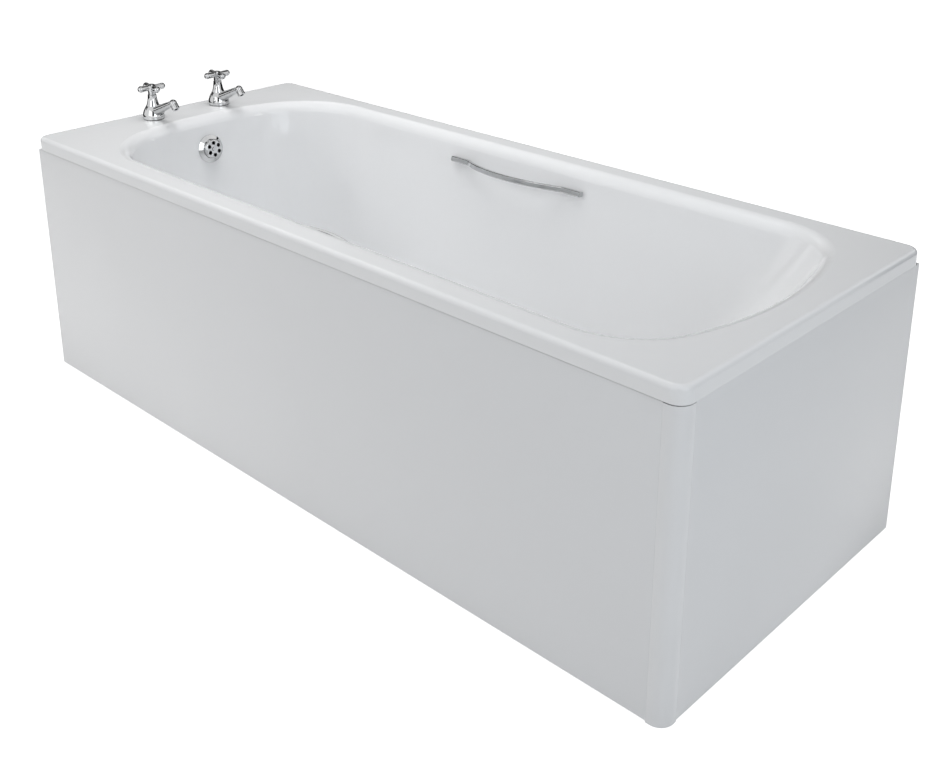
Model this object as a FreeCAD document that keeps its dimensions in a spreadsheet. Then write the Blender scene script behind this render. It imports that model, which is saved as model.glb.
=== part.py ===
import FreeCAD, Part
import math
import operator
import os

import Sketcher

# A single-ended bath pressed from enamelled steel, with two pillar taps, overflow, waste, bow grips,
# legs and panels.
# Frame: origin on the floor under the middle of the rim, +X to the sloping head end, +Z up, millimetres.
# The front panel faces -Y, the taps stand at the -X end, and the back and tap end stand against walls.

SIZES = {
    # Bath shell
    "bath_length": 1700.0,
    "bath_width": 700.0,
    "rim_height": 552.0,
    "sheet": 2.5,
    "lip_depth": 28.0,
    "deck_corner": 25.0,
    "deck_edge": 9.0,
    "tap_deck": 132.0,
    "head_deck": 62.0,
    "side_deck": 64.0,
    "tap_corner": 180.0,
    "head_corner": 135.0,
    "end_bow": 605.0,
    "basin_depth": 387.0,
    "tap_batter": 60.0,
    "head_batter": 248.0,
    "side_batter": 62.0,
    "floor_tap_corner": 150.0,
    "floor_head_corner": 125.0,
    "floor_blend": 90.0,
    "rim_roll": 25.0,
    # Clearances: around a fastener, in a fixed fit, in a turning or sliding fit, between moving pieces
    "hole_clearance": 0.5,
    "seat_clearance": 0.1,
    "running_clearance": 0.05,
    "moving_gap": 0.4,
    # Legs
    "tap_rail_setback": 450.0,
    "head_rail_setback": 520.0,
    "rail_width": 40.0,
    "rail_height": 30.0,
    "rail_wall": 2.5,
    "rail_end": 25.0,
    "rail_pad_inset": 74.0,
    "rail_pad_depth": 3.0,
    "rail_stud_inset": 104.0,
    "rail_stud_radius": 4.0,
    "rail_stud_length": 30.0,
    "rail_stud_collar": 8.0,
    "rail_stud_collar_depth": 2.0,
    "rail_nut_flats": 13.0,
    "rail_nut_depth": 6.5,
    "foot_outset": 16.0,
    "foot_stud_radius": 6.0,
    "foot_stud_above": 27.0,
    "foot_nut_flats": 18.0,
    "foot_nut_depth": 10.0,
    "foot_pad_radius": 25.0,
    "foot_pad_top": 12.0,
    "foot_pad_rim": 5.0,
    "foot_pad_height": 16.0,
    "foot_pad_floor": 4.0,
    "sound_pad_clear": 100.0,
    "sound_pad_inset": 104.0,
    "sound_pad_depth": 3.0,
    "sound_pad_gap": 50.0,
    "earth_tag_drop": 48.0,
    "earth_tag_width": 20.0,
    "earth_tag_depth": 2.0,
    "earth_tag_hole": 3.3,
    "earth_tag_hole_rise": 10.0,
    "earth_tag_inset": 90.0,
    # Panels
    "panel_thickness": 18.0,
    "panel_inset": 2.0,
    "panel_rise": 4.0,
    "panel_gap": 1.0,
    "post_leg": 32.0,
    "post_round": 25.0,
    "post_rise": 1.0,
    "post_gap": 3.0,
    "post_flange": 28.0,
    "post_flange_depth": 3.0,
    "clip_width": 40.0,
    "clip_drop": 60.0,
    "clip_flange": 19.0,
    "clip_depth": 2.0,
    "front_clip_setback": 230.0,
    "end_clip_setback": 190.0,
    "bracket_width": 30.0,
    "bracket_depth": 2.5,
    "bracket_tab": 42.0,
    "bracket_overlap": 45.0,
    "stay_width": 30.0,
    "stay_depth": 3.0,
    "stay_tab": 24.0,
    "stay_drop": 34.0,
    "screw_radius": 2.0,
    "screw_head_radius": 4.2,
    "screw_head_depth": 2.4,
    "screw_bite": 12.0,
    "post_screw_low": 90.0,
    "post_screw_drop": 84.0,
    # Taps
    "tap_setback": 60.0,
    "tap_spacing": 180.0,
    "tail_radius": 13.2,
    "tail_length": 58.0,
    "tail_bore": 8.5,
    "tail_groove_gap": 1.5,
    "tail_groove_width": 2.5,
    "tail_groove_depth": 0.8,
    "tap_gasket_depth": 1.5,
    "tap_gasket_margin": 1.0,
    "tap_base_radius": 24.5,
    "tap_base_edge": 5.0,
    "tap_dome": 50.0,
    "tap_top_radius": 15.4,
    "tap_height": 31.0,
    "seat_bore": 6.0,
    "seat_level": 9.0,
    "seat_depth": 4.0,
    "chamber_radius": 8.8,
    "spout_root_level": 13.8,
    "spout_root_radius": 13.0,
    "spout_tip_radius": 6.6,
    "spout_reach": 85.0,
    "spout_level": 51.0,
    "spout_elbow": 8.6,
    "spout_bore": 4.4,
    "nozzle_lean": 40.0,
    "nozzle_stub_radius": 6.9,
    "nozzle_stub_length": 15.0,
    "nozzle_radius": 8.8,
    "nozzle_start": 4.5,
    "nozzle_overhang": 1.5,
    "nozzle_groove": 0.7,
    "nozzle_groove_width": 1.1,
    "nozzle_groove_spacing": 2.8,
    "tap_washer_radius": 21.0,
    "tap_washer_depth": 2.0,
    "backnut_flats": 36.0,
    "backnut_depth": 10.0,
    "headwork_skirt": 7.0,
    "headwork_hex": 10.2,
    "headwork_hex_depth": 5.0,
    "headwork_neck": 8.0,
    "headwork_top": 54.0,
    "headwork_cap": 10.0,
    "carrier_radius": 6.0,
    "carrier_guide": 6.4,
    "carrier_flange": 8.2,
    "carrier_flange_depth": 2.0,
    "carrier_length": 20.0,
    "carrier_wall": 1.6,
    "valve_washer_depth": 3.0,
    "spindle_radius": 4.0,
    "spindle_thread_length": 20.0,
    "spindle_collar": 5.9,
    "spindle_collar_depth": 3.0,
    "spindle_top": 68.0,
    "shroud_base_radius": 14.8,
    "shroud_flare": 70.0,
    "shroud_top_radius": 9.8,
    "shroud_wall": 1.4,
    "shroud_top": 56.5,
    "handle_angle": -6.0,
    "handle_neck_radius": 8.4,
    "handle_level": 72.5,
    "hub_radius": 9.8,
    "hub_half_depth": 7.0,
    "arm_reach": 26.0,
    "arm_root_radius": 5.2,
    "arm_tip_radius": 7.4,
    "cap_radius": 7.0,
    "cap_seat": 1.6,
    "cap_rise": 1.0,
    "handle_screw_radius": 2.0,
    "handle_screw_head": 3.6,
    "handle_screw_head_depth": 1.6,
    "handle_screw_length": 9.0,
    # Overflow
    "overflow_drop": 75.0,
    "overflow_flange": 32.5,
    "overflow_flange_edge": 2.0,
    "overflow_flange_rise": 6.0,
    "overflow_face": 23.0,
    "overflow_face_rise": 17.0,
    "overflow_face_round": 4.0,
    "overflow_wall": 2.0,
    "overflow_hole_circle": 14.0,
    "overflow_hole": 4.6,
    "overflow_bore": 19.0,
    "overflow_screw_radius": 2.5,
    "overflow_screw_head": 5.0,
    "overflow_screw_head_depth": 2.0,
    "overflow_seal_depth": 4.0,
    "overflow_back_flange": 30.0,
    "overflow_back_depth": 4.0,
    "overflow_barrel": 22.0,
    "overflow_barrel_length": 40.0,
    "overflow_bridge": 6.0,
    "spigot_radius": 13.0,
    "spigot_bore": 10.5,
    "spigot_length": 38.0,
    "pipe_wall": 2.5,
    "pipe_bend": 60.0,
    "pipe_lap": 24.0,
    "pipe_clip_width": 9.0,
    "pipe_clip_depth": 1.2,
    # Waste
    "waste_setback": 345.0,
    "waste_hole": 26.0,
    "waste_flange": 35.0,
    "waste_flange_depth": 2.6,
    "waste_throat": 24.2,
    "waste_throat_wall": 3.0,
    "waste_throat_length": 30.0,
    "waste_seal_depth": 1.5,
    "waste_seal_inner": 27.0,
    "waste_spider_depth": 4.0,
    "waste_spider_width": 6.0,
    "waste_boss": 7.5,
    "waste_gasket_depth": 3.0,
    "waste_body_flange": 37.0,
    "waste_body_flange_depth": 4.0,
    "waste_cup": 31.0,
    "waste_cup_wall": 3.0,
    "waste_cup_depth": 52.0,
    "waste_tail": 23.9,
    "waste_tail_bore": 20.0,
    "waste_tail_length": 26.0,
    "waste_inlet_drop": 38.0,
    "plug_radius": 29.0,
    "plug_edge": 2.0,
    "plug_dome": 120.0,
    "plug_seal_radius": 26.0,
    "plug_seal_inner": 12.0,
    "plug_seal_depth": 2.0,
    "plug_stem_radius": 4.0,
    "plug_stem_length": 42.0,
    # Grips
    "grip_drop": 48.0,
    "grip_length": 360.0,
    "grip_foot_length": 48.0,
    "grip_foot_depth": 10.0,
    "grip_bow": 49.0,
    "grip_thickness": 9.0,
    "grip_height": 11.0,
    "grip_round": 1.6,
    "grip_seal_depth": 1.5,
    "grip_stud_radius": 2.5,
    "grip_stud_length": 26.0,
    "grip_stud_bite": 6.0,
    "grip_nut_flats": 8.0,
    "grip_nut_depth": 4.0,
}

OPERATIONS = {"+": operator.add, "-": operator.sub, "*": operator.mul, "/": operator.truediv}
RIGHT_ANGLE = 90.0
HEX_SHARE = math.sqrt(3.0) / 2.0
ALONG_X = FreeCAD.Rotation(FreeCAD.Vector(0, 1, 0), RIGHT_ANGLE)
TO_FRONT = FreeCAD.Rotation(FreeCAD.Vector(1, 0, 0), RIGHT_ANGLE)
SAME_PLACE = 1e-4
ARMS = 4
OVERFLOW_HOLES = 6
SPIDER_ARMS = 3


class Dim:
    """A size worked out from the sheet: its expression text and its present value."""

    def __init__(self, text, value):
        self.text = text
        self.value = value

    def __add__(self, other):
        return joined(self, "+", other)

    def __radd__(self, other):
        return joined(other, "+", self)

    def __sub__(self, other):
        return joined(self, "-", other)

    def __rsub__(self, other):
        return joined(other, "-", self)

    def __mul__(self, other):
        return joined(self, "*", other)

    def __rmul__(self, other):
        return joined(other, "*", self)

    def __truediv__(self, other):
        return joined(self, "/", other)

    def __neg__(self):
        return joined(0, "-", self)


def as_dim(size):
    """A plain number as a Dim; a Dim stays as it is."""
    return size if isinstance(size, Dim) else Dim(str(size), float(size))


def joined(left, sign, right):
    """Two sizes joined by an arithmetic sign."""
    left = as_dim(left)
    right = as_dim(right)
    return Dim(f"({left.text} {sign} {right.text})", OPERATIONS[sign](left.value, right.value))


def root(size):
    """The square root of a size."""
    return Dim(f"sqrt({size.text})", math.sqrt(size.value))


def angle_of(rise, run):
    """The angle whose tangent is rise / run, in degrees."""
    return Dim(f"atan({rise.text} / {run.text})", math.degrees(math.atan2(rise.value, run.value)))


def angle_past(right_angles, angle, sign):
    """A number of right angles plus or minus another angle, in degrees."""
    base = right_angles * RIGHT_ANGLE
    return Dim(f"({base} deg {sign} {angle.text})", OPERATIONS[sign](base, angle.value))


def plain_angle(size):
    """A sheet number read as degrees."""
    return Dim(f"({size.text} * 1 deg)", size.value)


def cosine(angle):
    """The cosine of an angle."""
    return Dim(f"cos({angle.text})", math.cos(math.radians(angle.value)))


def sine(angle):
    """The sine of an angle."""
    return Dim(f"sin({angle.text})", math.sin(math.radians(angle.value)))


class Sizes:
    """The spreadsheet's sizes, read by name."""

    def __init__(self, document):
        sheet = document.addObject("Spreadsheet::Sheet", "sizes")
        for row, (name, value) in enumerate(SIZES.items(), 1):
            sheet.set(f"A{row}", name)
            sheet.set(f"B{row}", str(value))
            sheet.setAlias(f"B{row}", name)
            setattr(self, name, Dim(f"sizes.{name}", value))
        document.recompute()


doc = FreeCAD.newDocument("bath")
S = Sizes(doc)
ZERO = as_dim(0)
ORIGIN = (ZERO, ZERO, ZERO)
NODES = []


# Drawing helpers


def bind(item, path, size):
    """Ties one property of an object to the sheet."""
    item.setExpression(path, as_dim(size).text)


def put(item, place, axis=None, angle=None, rotation=None):
    """Places an object, turned about an axis by a bound angle or by a fixed rotation."""
    if rotation is not None:
        item.Placement = FreeCAD.Placement(FreeCAD.Vector(), rotation)
    if axis is not None:
        start = FreeCAD.Rotation(FreeCAD.Vector(*axis), angle.value)
        item.Placement = FreeCAD.Placement(FreeCAD.Vector(), start)
        bind(item, "Placement.Rotation.Axis.x", axis[0])
        bind(item, "Placement.Rotation.Axis.y", axis[1])
        bind(item, "Placement.Rotation.Axis.z", axis[2])
        bind(item, "Placement.Rotation.Angle", angle)
    for letter, size in zip("xyz", place):
        bind(item, f"Placement.Base.{letter}", size)
    return item


def node(item, label):
    """Names a finished piece, which is written to its own file."""
    item.Label = label
    NODES.append(item)
    return item


def new_body(name):
    return doc.addObject("PartDesign::Body", name)


def new_sketch(body, role, offset=ZERO):
    """A sketch on one of the body's own planes, moved along the plane's normal."""
    sketch = body.newObject("Sketcher::SketchObject", "outline")
    plane = next(feature for feature in body.Origin.OriginFeatures if feature.Role == role)
    sketch.AttachmentSupport = [(plane, "")]
    sketch.MapMode = "FlatFace"
    bind(sketch, "AttachmentOffset.Base.z", offset)
    return sketch


def tie(sketch, index, size):
    """Ties a sketch constraint to the sheet."""
    sketch.setExpression(f"Constraints[{index}]", size.text)


def arc_between(start, end, radius, turn):
    """The short arc from start to end that turns left or right."""
    chord = end - start
    left = FreeCAD.Vector(-chord.y, chord.x, 0).normalize()
    half = chord.Length / 2
    rise = radius - math.sqrt(radius**2 - half**2)
    side = -rise if turn == "left" else rise
    return Part.Arc(start, (start + end) * 0.5 + left * side, end)


def draw_loop(sketch, corners):
    """A closed outline. A corner is (x, y), or (x, y, radius, turn) where an arc leaves it."""
    corners = [(as_dim(corner[0]), as_dim(corner[1]), *corner[2:]) for corner in corners]
    points = [FreeCAD.Vector(corner[0].value, corner[1].value, 0) for corner in corners]
    count = len(corners)
    first = sketch.GeometryCount
    ends = []
    for number, corner in enumerate(corners):
        start = points[number]
        end = points[(number + 1) % count]
        if len(corner) == 2:
            sketch.addGeometry(Part.LineSegment(start, end), False)
            ends.append((1, 2))
        else:
            sketch.addGeometry(arc_between(start, end, corner[2].value, corner[3]), False)
            ends.append((1, 2) if corner[3] == "left" else (2, 1))
    for number in range(count):
        after = (number + 1) % count
        pair = (first + number, ends[number][1], first + after, ends[after][0])
        sketch.addConstraint(Sketcher.Constraint("Coincident", *pair))
    for number, corner in enumerate(corners):
        for kind, size in (("DistanceX", corner[0]), ("DistanceY", corner[1])):
            spot = (-1, 1, first + number, ends[number][0])
            tie(sketch, sketch.addConstraint(Sketcher.Constraint(kind, *spot, size.value)), size)
        if len(corner) > 2:
            rule = Sketcher.Constraint("Radius", first + number, corner[2].value)
            tie(sketch, sketch.addConstraint(rule), corner[2])


def draw_circle(sketch, across, up, radius):
    """A circle tied to the sheet by its centre and radius."""
    across = as_dim(across)
    up = as_dim(up)
    middle = FreeCAD.Vector(across.value, up.value, 0)
    circle = sketch.addGeometry(Part.Circle(middle, FreeCAD.Vector(0, 0, 1), radius.value), False)
    for kind, size in (("DistanceX", across), ("DistanceY", up)):
        tie(sketch, sketch.addConstraint(Sketcher.Constraint(kind, -1, 1, circle, 3, size.value)), size)
    tie(sketch, sketch.addConstraint(Sketcher.Constraint("Radius", circle, radius.value)), radius)


def rounded_box(half_x, half_y, radius):
    """The corners of a rectangle with round corners."""
    return [
        (-(half_x - radius), -half_y),
        (half_x - radius, -half_y, radius, "left"),
        (half_x, -(half_y - radius)),
        (half_x, half_y - radius, radius, "left"),
        (half_x - radius, half_y),
        (-(half_x - radius), half_y, radius, "left"),
        (-half_x, half_y - radius),
        (-half_x, -(half_y - radius), radius, "left"),
    ]


def box_corners(left, right, low, high):
    """The corners of a plain rectangle."""
    return [(left, low), (right, low), (right, high), (left, high)]


def hexagon(flats):
    """The corners of a hexagon given its size across the flats."""
    long_half = flats / (2 * HEX_SHARE)
    short_half = flats / 2
    return [
        (long_half, ZERO),
        (long_half / 2, short_half),
        (-(long_half / 2), short_half),
        (-long_half, ZERO),
        (-(long_half / 2), -short_half),
        (long_half / 2, -short_half),
    ]


def revolved(name, corners, place=ORIGIN, **turn):
    """A turned piece: corners are (radius, height) about the local Z axis."""
    body = new_body(name)
    sketch = new_sketch(body, "XZ_Plane")
    draw_loop(sketch, corners)
    turned = body.newObject("PartDesign::Revolution", "turned")
    turned.Profile = sketch
    turned.ReferenceAxis = (sketch, ["V_Axis"])
    return put(body, place, **turn)


def padded(name, role, corners, length, place=ORIGIN, holes=(), middle=False, **turn):
    """A straight piece: an outline with round holes, carried along its plane's normal."""
    body = new_body(name)
    sketch = new_sketch(body, role)
    draw_loop(sketch, corners)
    for hole in holes:
        draw_circle(sketch, *hole)
    pad = body.newObject("PartDesign::Pad", "straight")
    pad.Profile = sketch
    pad.Midplane = middle
    bind(pad, "Length", length)
    return put(body, place, **turn)


def solid(kind, name, sizes, place=ORIGIN, **turn):
    """A primitive such as a cylinder or a cone, with its sizes tied to the sheet."""
    item = doc.addObject(f"Part::{kind}", name)
    for path, size in sizes.items():
        bind(item, path, size)
    return put(item, place, **turn)


def cylinder(name, radius, height, place=ORIGIN, **turn):
    return solid("Cylinder", name, {"Radius": radius, "Height": height}, place, **turn)


def block(name, sizes, place):
    return solid("Box", name, dict(zip(("Length", "Width", "Height"), sizes)), place)


def fused(name, members):
    item = doc.addObject("Part::MultiFuse", name)
    item.Shapes = members
    item.Refine = True
    return item


def cut(name, base, tools):
    """A base less its tools."""
    item = doc.addObject("Part::Cut", name)
    item.Base = base
    item.Tool = fused(f"{name}_tools", tools) if len(tools) > 1 else tools[0]
    return item


def grouped(label, members):
    """Several separate solids in one node."""
    item = doc.addObject("Part::Compound", label)
    item.Links = members
    return node(item, label)


def mirrored(item):
    """The same piece on the other long side of the bath."""
    copy = doc.addObject("Part::Mirroring", f"{item.Name}_other_side")
    copy.Source = item
    copy.Normal = FreeCAD.Vector(0, 1, 0)
    return copy


# Places that several pieces share

HALF_LENGTH = S.bath_length / 2
HALF_WIDTH = S.bath_width / 2
DECK_UNDER = S.rim_height - S.sheet
LIP_BOTTOM = S.rim_height - S.lip_depth
FLOOR = S.rim_height - S.basin_depth
FLOOR_UNDER = FLOOR - S.sheet
RAIL_TOP = FLOOR_UNDER - S.rail_pad_depth
WEB_BOTTOM = RAIL_TOP - S.rail_wall
RAIL_PLACES = (-(HALF_LENGTH - S.tap_rail_setback), HALF_LENGTH - S.head_rail_setback)
RAIL_ENDS = ("tap", "head")
OPENING = {
    "tap": HALF_LENGTH - S.tap_deck,
    "head": HALF_LENGTH - S.head_deck,
    "half": HALF_WIDTH - S.side_deck,
    "tap_round": S.tap_corner,
    "head_round": S.head_corner,
    "bow": S.end_bow,
}
FLOOR_OUTLINE = {
    "tap": OPENING["tap"] - S.tap_batter,
    "head": OPENING["head"] - S.head_batter,
    "half": OPENING["half"] - S.side_batter,
    "tap_round": S.floor_tap_corner,
    "head_round": S.floor_head_corner,
    "bow": S.end_bow,
}
PANEL_FRONT = HALF_WIDTH - S.panel_inset
PANEL_BACK = PANEL_FRONT - S.panel_thickness
PANEL_END = HALF_LENGTH - S.panel_inset
PANEL_END_BACK = PANEL_END - S.panel_thickness
PANEL_HEIGHT = LIP_BOTTOM - S.panel_gap - S.panel_rise
TAP_X = -(HALF_LENGTH - S.tap_setback)
TAP_SIDES = {"hot": -(S.tap_spacing / 2), "cold": S.tap_spacing / 2}
OVERFLOW_TILT = angle_of(S.tap_batter, S.basin_depth)
OVERFLOW_TURN = {"axis": (0, 1, 0), "angle": angle_past(1, OVERFLOW_TILT, "-")}
GRIP_TILT = angle_of(S.side_batter, S.basin_depth)
GRIP_SQUARE = {"axis": (1, 0, 0), "angle": angle_past(0, GRIP_TILT, "-")}
GRIP_INWARD = {"axis": (1, 0, 0), "angle": angle_past(1, GRIP_TILT, "-")}
GRIP_OUTWARD = {"axis": (1, 0, 0), "angle": angle_past(-1, GRIP_TILT, "-")}
GRIP_STUD = S.grip_length / 2 - S.grip_foot_length / 2
WASTE_X = -(HALF_LENGTH - S.waste_setback)
STUD_HALF = FLOOR_OUTLINE["half"] - S.rail_stud_inset
FOOT_HALF = FLOOR_OUTLINE["half"] + S.foot_outset
RAIL_HALF = FOOT_HALF + S.rail_end
PLUG_TOP = FLOOR + S.waste_seal_depth + S.waste_flange_depth + S.moving_gap


# The bath shell


def basin_outline(tap, head, half, tap_round, head_round, bow):
    """An outline with bowed ends and round corners, tangent all the way round."""

    def bowed_end(reach, radius):
        rise = root((bow - radius) * (bow - radius) - (half - radius) * (half - radius))
        share = bow / (bow - radius)
        return reach - bow + rise, reach - bow + rise * share, (half - radius) * share

    head_start, head_x, head_y = bowed_end(head, head_round)
    tap_start, tap_x, tap_y = bowed_end(tap, tap_round)
    return [
        (-tap_start, -half),
        (head_start, -half, head_round, "left"),
        (head_x, -head_y, bow, "left"),
        (head_x, head_y, head_round, "left"),
        (head_start, half),
        (-tap_start, half, tap_round, "left"),
        (-tap_x, tap_y, bow, "left"),
        (-tap_x, -tap_y, tap_round, "left"),
    ]


def level_edges(shape, level, half_x=None, half_y=None):
    """The names of the edges that lie at one height, and inside a rectangle where one is given."""
    names = []
    for number, edge in enumerate(shape.Edges, 1):
        box = edge.BoundBox
        at_level = max(abs(box.ZMin - level.value), abs(box.ZMax - level.value)) < SAME_PLACE
        reach_x = max(-box.XMin, box.XMax)
        reach_y = max(-box.YMin, box.YMax)
        inside = half_x is None or (reach_x < half_x.value and reach_y < half_y.value)
        if at_level and inside:
            names.append(f"Edge{number}")
    return names


def rounded_edges(body, name, base, edges, radius):
    """A fillet along named edges of a feature."""
    fillet = body.newObject("PartDesign::Fillet", name)
    fillet.Base = (base, edges)
    bind(fillet, "Radius", radius)
    doc.recompute()
    return fillet


def basin_loft(body, name, level, opening, low, floor):
    """A drafted basin between the opening and the floor."""
    sketches = []
    for outline, height in ((opening, level), (floor, low)):
        sketch = new_sketch(body, "XY_Plane", height)
        draw_loop(sketch, basin_outline(**outline))
        sketches.append(sketch)
    loft = body.newObject("PartDesign::AdditiveLoft", name)
    loft.Profile = sketches[0]
    loft.Sections = sketches[1:]
    loft.Ruled = True
    doc.recompute()
    return loft


def grown(outline, margin):
    """An outline moved outwards by a margin."""
    return {key: size + margin for key, size in outline.items()}


def pressing():
    """The deck with its turned-down lip, and the outside of the basin."""
    body = new_body("pressing")
    deck_sketch = new_sketch(body, "XY_Plane", LIP_BOTTOM)
    draw_loop(deck_sketch, rounded_box(HALF_LENGTH, HALF_WIDTH, S.deck_corner))
    deck = body.newObject("PartDesign::Pad", "deck")
    deck.Profile = deck_sketch
    bind(deck, "Length", S.lip_depth)
    hollow_sketch = new_sketch(body, "XY_Plane", LIP_BOTTOM)
    inner = (HALF_LENGTH - S.sheet, HALF_WIDTH - S.sheet, S.deck_corner - S.sheet)
    draw_loop(hollow_sketch, rounded_box(*inner))
    hollow = body.newObject("PartDesign::Pocket", "hollow")
    hollow.Profile = hollow_sketch
    hollow.Reversed = True
    bind(hollow, "Length", S.lip_depth - S.sheet)
    doc.recompute()
    under = level_edges(hollow.Shape, DECK_UNDER)
    inside = rounded_edges(body, "inside_edge", hollow, under, S.deck_edge - S.sheet)
    rounded_edges(body, "outside_edge", inside, level_edges(inside.Shape, S.rim_height), S.deck_edge)
    outer_opening = grown(OPENING, S.sheet)
    outer_floor = grown(FLOOR_OUTLINE, S.sheet)
    basin = basin_loft(body, "basin", S.rim_height, outer_opening, FLOOR_UNDER, outer_floor)
    floor_edges = level_edges(basin.Shape, FLOOR_UNDER)
    blend = rounded_edges(body, "blend", basin, floor_edges, S.floor_blend + S.sheet)
    within = (HALF_LENGTH - S.deck_corner, HALF_WIDTH - S.deck_corner)
    rounded_edges(body, "roll", blend, level_edges(blend.Shape, DECK_UNDER, *within), S.rim_roll - S.sheet)
    return body


def basin_space():
    """The space inside the basin, with the rolled edge that opens into the deck."""
    body = new_body("basin_space")
    sketch = new_sketch(body, "XY_Plane", S.rim_height)
    cover = (HALF_LENGTH - S.deck_corner, HALF_WIDTH - S.deck_edge, S.deck_edge)
    draw_loop(sketch, rounded_box(*cover))
    above = body.newObject("PartDesign::Pad", "above")
    above.Profile = sketch
    bind(above, "Length", S.lip_depth)
    basin = basin_loft(body, "basin", S.rim_height, OPENING, FLOOR, FLOOR_OUTLINE)
    blend = rounded_edges(body, "blend", basin, level_edges(basin.Shape, FLOOR), S.floor_blend)
    within = (HALF_LENGTH - S.deck_corner - S.sheet, HALF_WIDTH - S.deck_edge - S.sheet)
    rounded_edges(body, "roll", blend, level_edges(blend.Shape, S.rim_height, *within), S.rim_roll)
    return body


def overflow_point(distance):
    """A place on the overflow's axis, measured from the basin wall into the basin."""
    slant = root(S.basin_depth * S.basin_depth + S.tap_batter * S.tap_batter)
    wall_x = -OPENING["tap"] + S.tap_batter * S.overflow_drop / S.basin_depth
    wall_z = S.rim_height - S.overflow_drop
    return (wall_x + S.basin_depth * distance / slant, ZERO, wall_z + S.tap_batter * distance / slant)


def grip_point(along, distance):
    """A place on a back grip's stud axis, measured from the basin wall into the basin."""
    wall_y = OPENING["half"] - S.side_batter * S.grip_drop / S.basin_depth
    wall_z = S.rim_height - S.grip_drop
    return (along, wall_y - cosine(GRIP_TILT) * distance, wall_z + sine(GRIP_TILT) * distance)


def water_holes():
    """The tools that open the shell for taps, overflow and waste."""
    through = S.rim_roll * 2
    tools = []
    for side, across in TAP_SIDES.items():
        place = (TAP_X, across, S.rim_height - S.rim_roll)
        tools.append(cylinder(f"{side}_tap_hole", S.tail_radius + S.hole_clearance, through, place))
    overflow_start = overflow_point(-S.rim_roll)
    tools.append(cylinder("overflow_opening", S.overflow_bore, through, overflow_start, **OVERFLOW_TURN))
    tools.append(cylinder("waste_opening", S.waste_hole, through, (WASTE_X, ZERO, FLOOR - S.rim_roll)))
    return tools


def grip_holes():
    """The tools that open both side walls for the grips' studs."""
    radius = S.grip_stud_radius + S.hole_clearance
    tools = []
    for sign in (-1, 1):
        start = grip_point(sign * GRIP_STUD, -S.rim_roll)
        hole = cylinder("grip_hole", radius, S.rim_roll * 2, start, **GRIP_INWARD)
        tools.extend((hole, mirrored(hole)))
    return tools


def bath_shell(outside):
    plain = cut("plain_shell", outside, [basin_space()])
    piped = cut("piped_shell", plain, water_holes())
    node(cut("shell", piped, grip_holes()), "bath_shell")


# Legs, sound pads and earth tag


def leg_rail(end, place):
    """A channel across the bath, open downwards, with holes for its weld studs and feet."""
    half = S.rail_width / 2
    inner = half - S.rail_wall
    low = RAIL_TOP - S.rail_height
    corners = [
        (place - half, low),
        (place - inner, low),
        (place - inner, WEB_BOTTOM),
        (place + inner, WEB_BOTTOM),
        (place + inner, low),
        (place + half, low),
        (place + half, RAIL_TOP),
        (place - half, RAIL_TOP),
    ]
    channel = padded(f"{end}_channel", "XZ_Plane", corners, RAIL_HALF * 2, middle=True)
    holes = []
    for half_gap, radius in ((STUD_HALF, S.rail_stud_radius), (FOOT_HALF, S.foot_stud_radius)):
        for across in (-half_gap, half_gap):
            spot = (place, across, low)
            holes.append(cylinder(f"{end}_rail_hole", radius + S.hole_clearance, S.rail_height * 2, spot))
    node(cut(f"{end}_rail", channel, holes), f"leg_rail_{end}_end")


def rail_stud(place, across):
    """A stud welded under the floor by its collar."""
    collar_low = -S.rail_stud_collar_depth
    corners = [
        (ZERO, -S.rail_stud_length),
        (S.rail_stud_radius, -S.rail_stud_length),
        (S.rail_stud_radius, collar_low),
        (S.rail_stud_collar, collar_low),
        (S.rail_stud_collar, ZERO),
        (ZERO, ZERO),
    ]
    return revolved("rail_stud", corners, (place, across, FLOOR_UNDER))


def hex_nut(name, flats, depth, bore, place, **turn):
    """A plain hexagon nut that stands up from its place."""
    return padded(name, "XY_Plane", hexagon(flats), depth, place, holes=[(ZERO, ZERO, bore)], **turn)


def rail_pad(place):
    """An isolating strip between the floor and a rail."""
    half = S.rail_width / 2
    half_length = FLOOR_OUTLINE["half"] - S.rail_pad_inset
    opening = S.rail_stud_collar + S.hole_clearance
    holes = [(ZERO, across, opening) for across in (-STUD_HALF, STUD_HALF)]
    corners = box_corners(-half, half, -half_length, half_length)
    return padded("rail_pad", "XY_Plane", corners, S.rail_pad_depth, (place, ZERO, RAIL_TOP), holes=holes)


def foot_stud(place, across):
    length = RAIL_TOP + S.foot_stud_above - S.foot_pad_floor
    return cylinder("foot_stud", S.foot_stud_radius, length, (place, across, S.foot_pad_floor))


def foot_pad(place, across):
    """A round pad with a socket for the end of its stud."""
    socket = S.foot_stud_radius + S.seat_clearance
    corners = [
        (ZERO, ZERO),
        (S.foot_pad_radius, ZERO),
        (S.foot_pad_radius, S.foot_pad_rim),
        (S.foot_pad_top, S.foot_pad_height),
        (socket, S.foot_pad_height),
        (socket, S.foot_pad_floor),
        (ZERO, S.foot_pad_floor),
    ]
    return revolved("foot_pad", corners, (place, across, ZERO))


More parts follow.
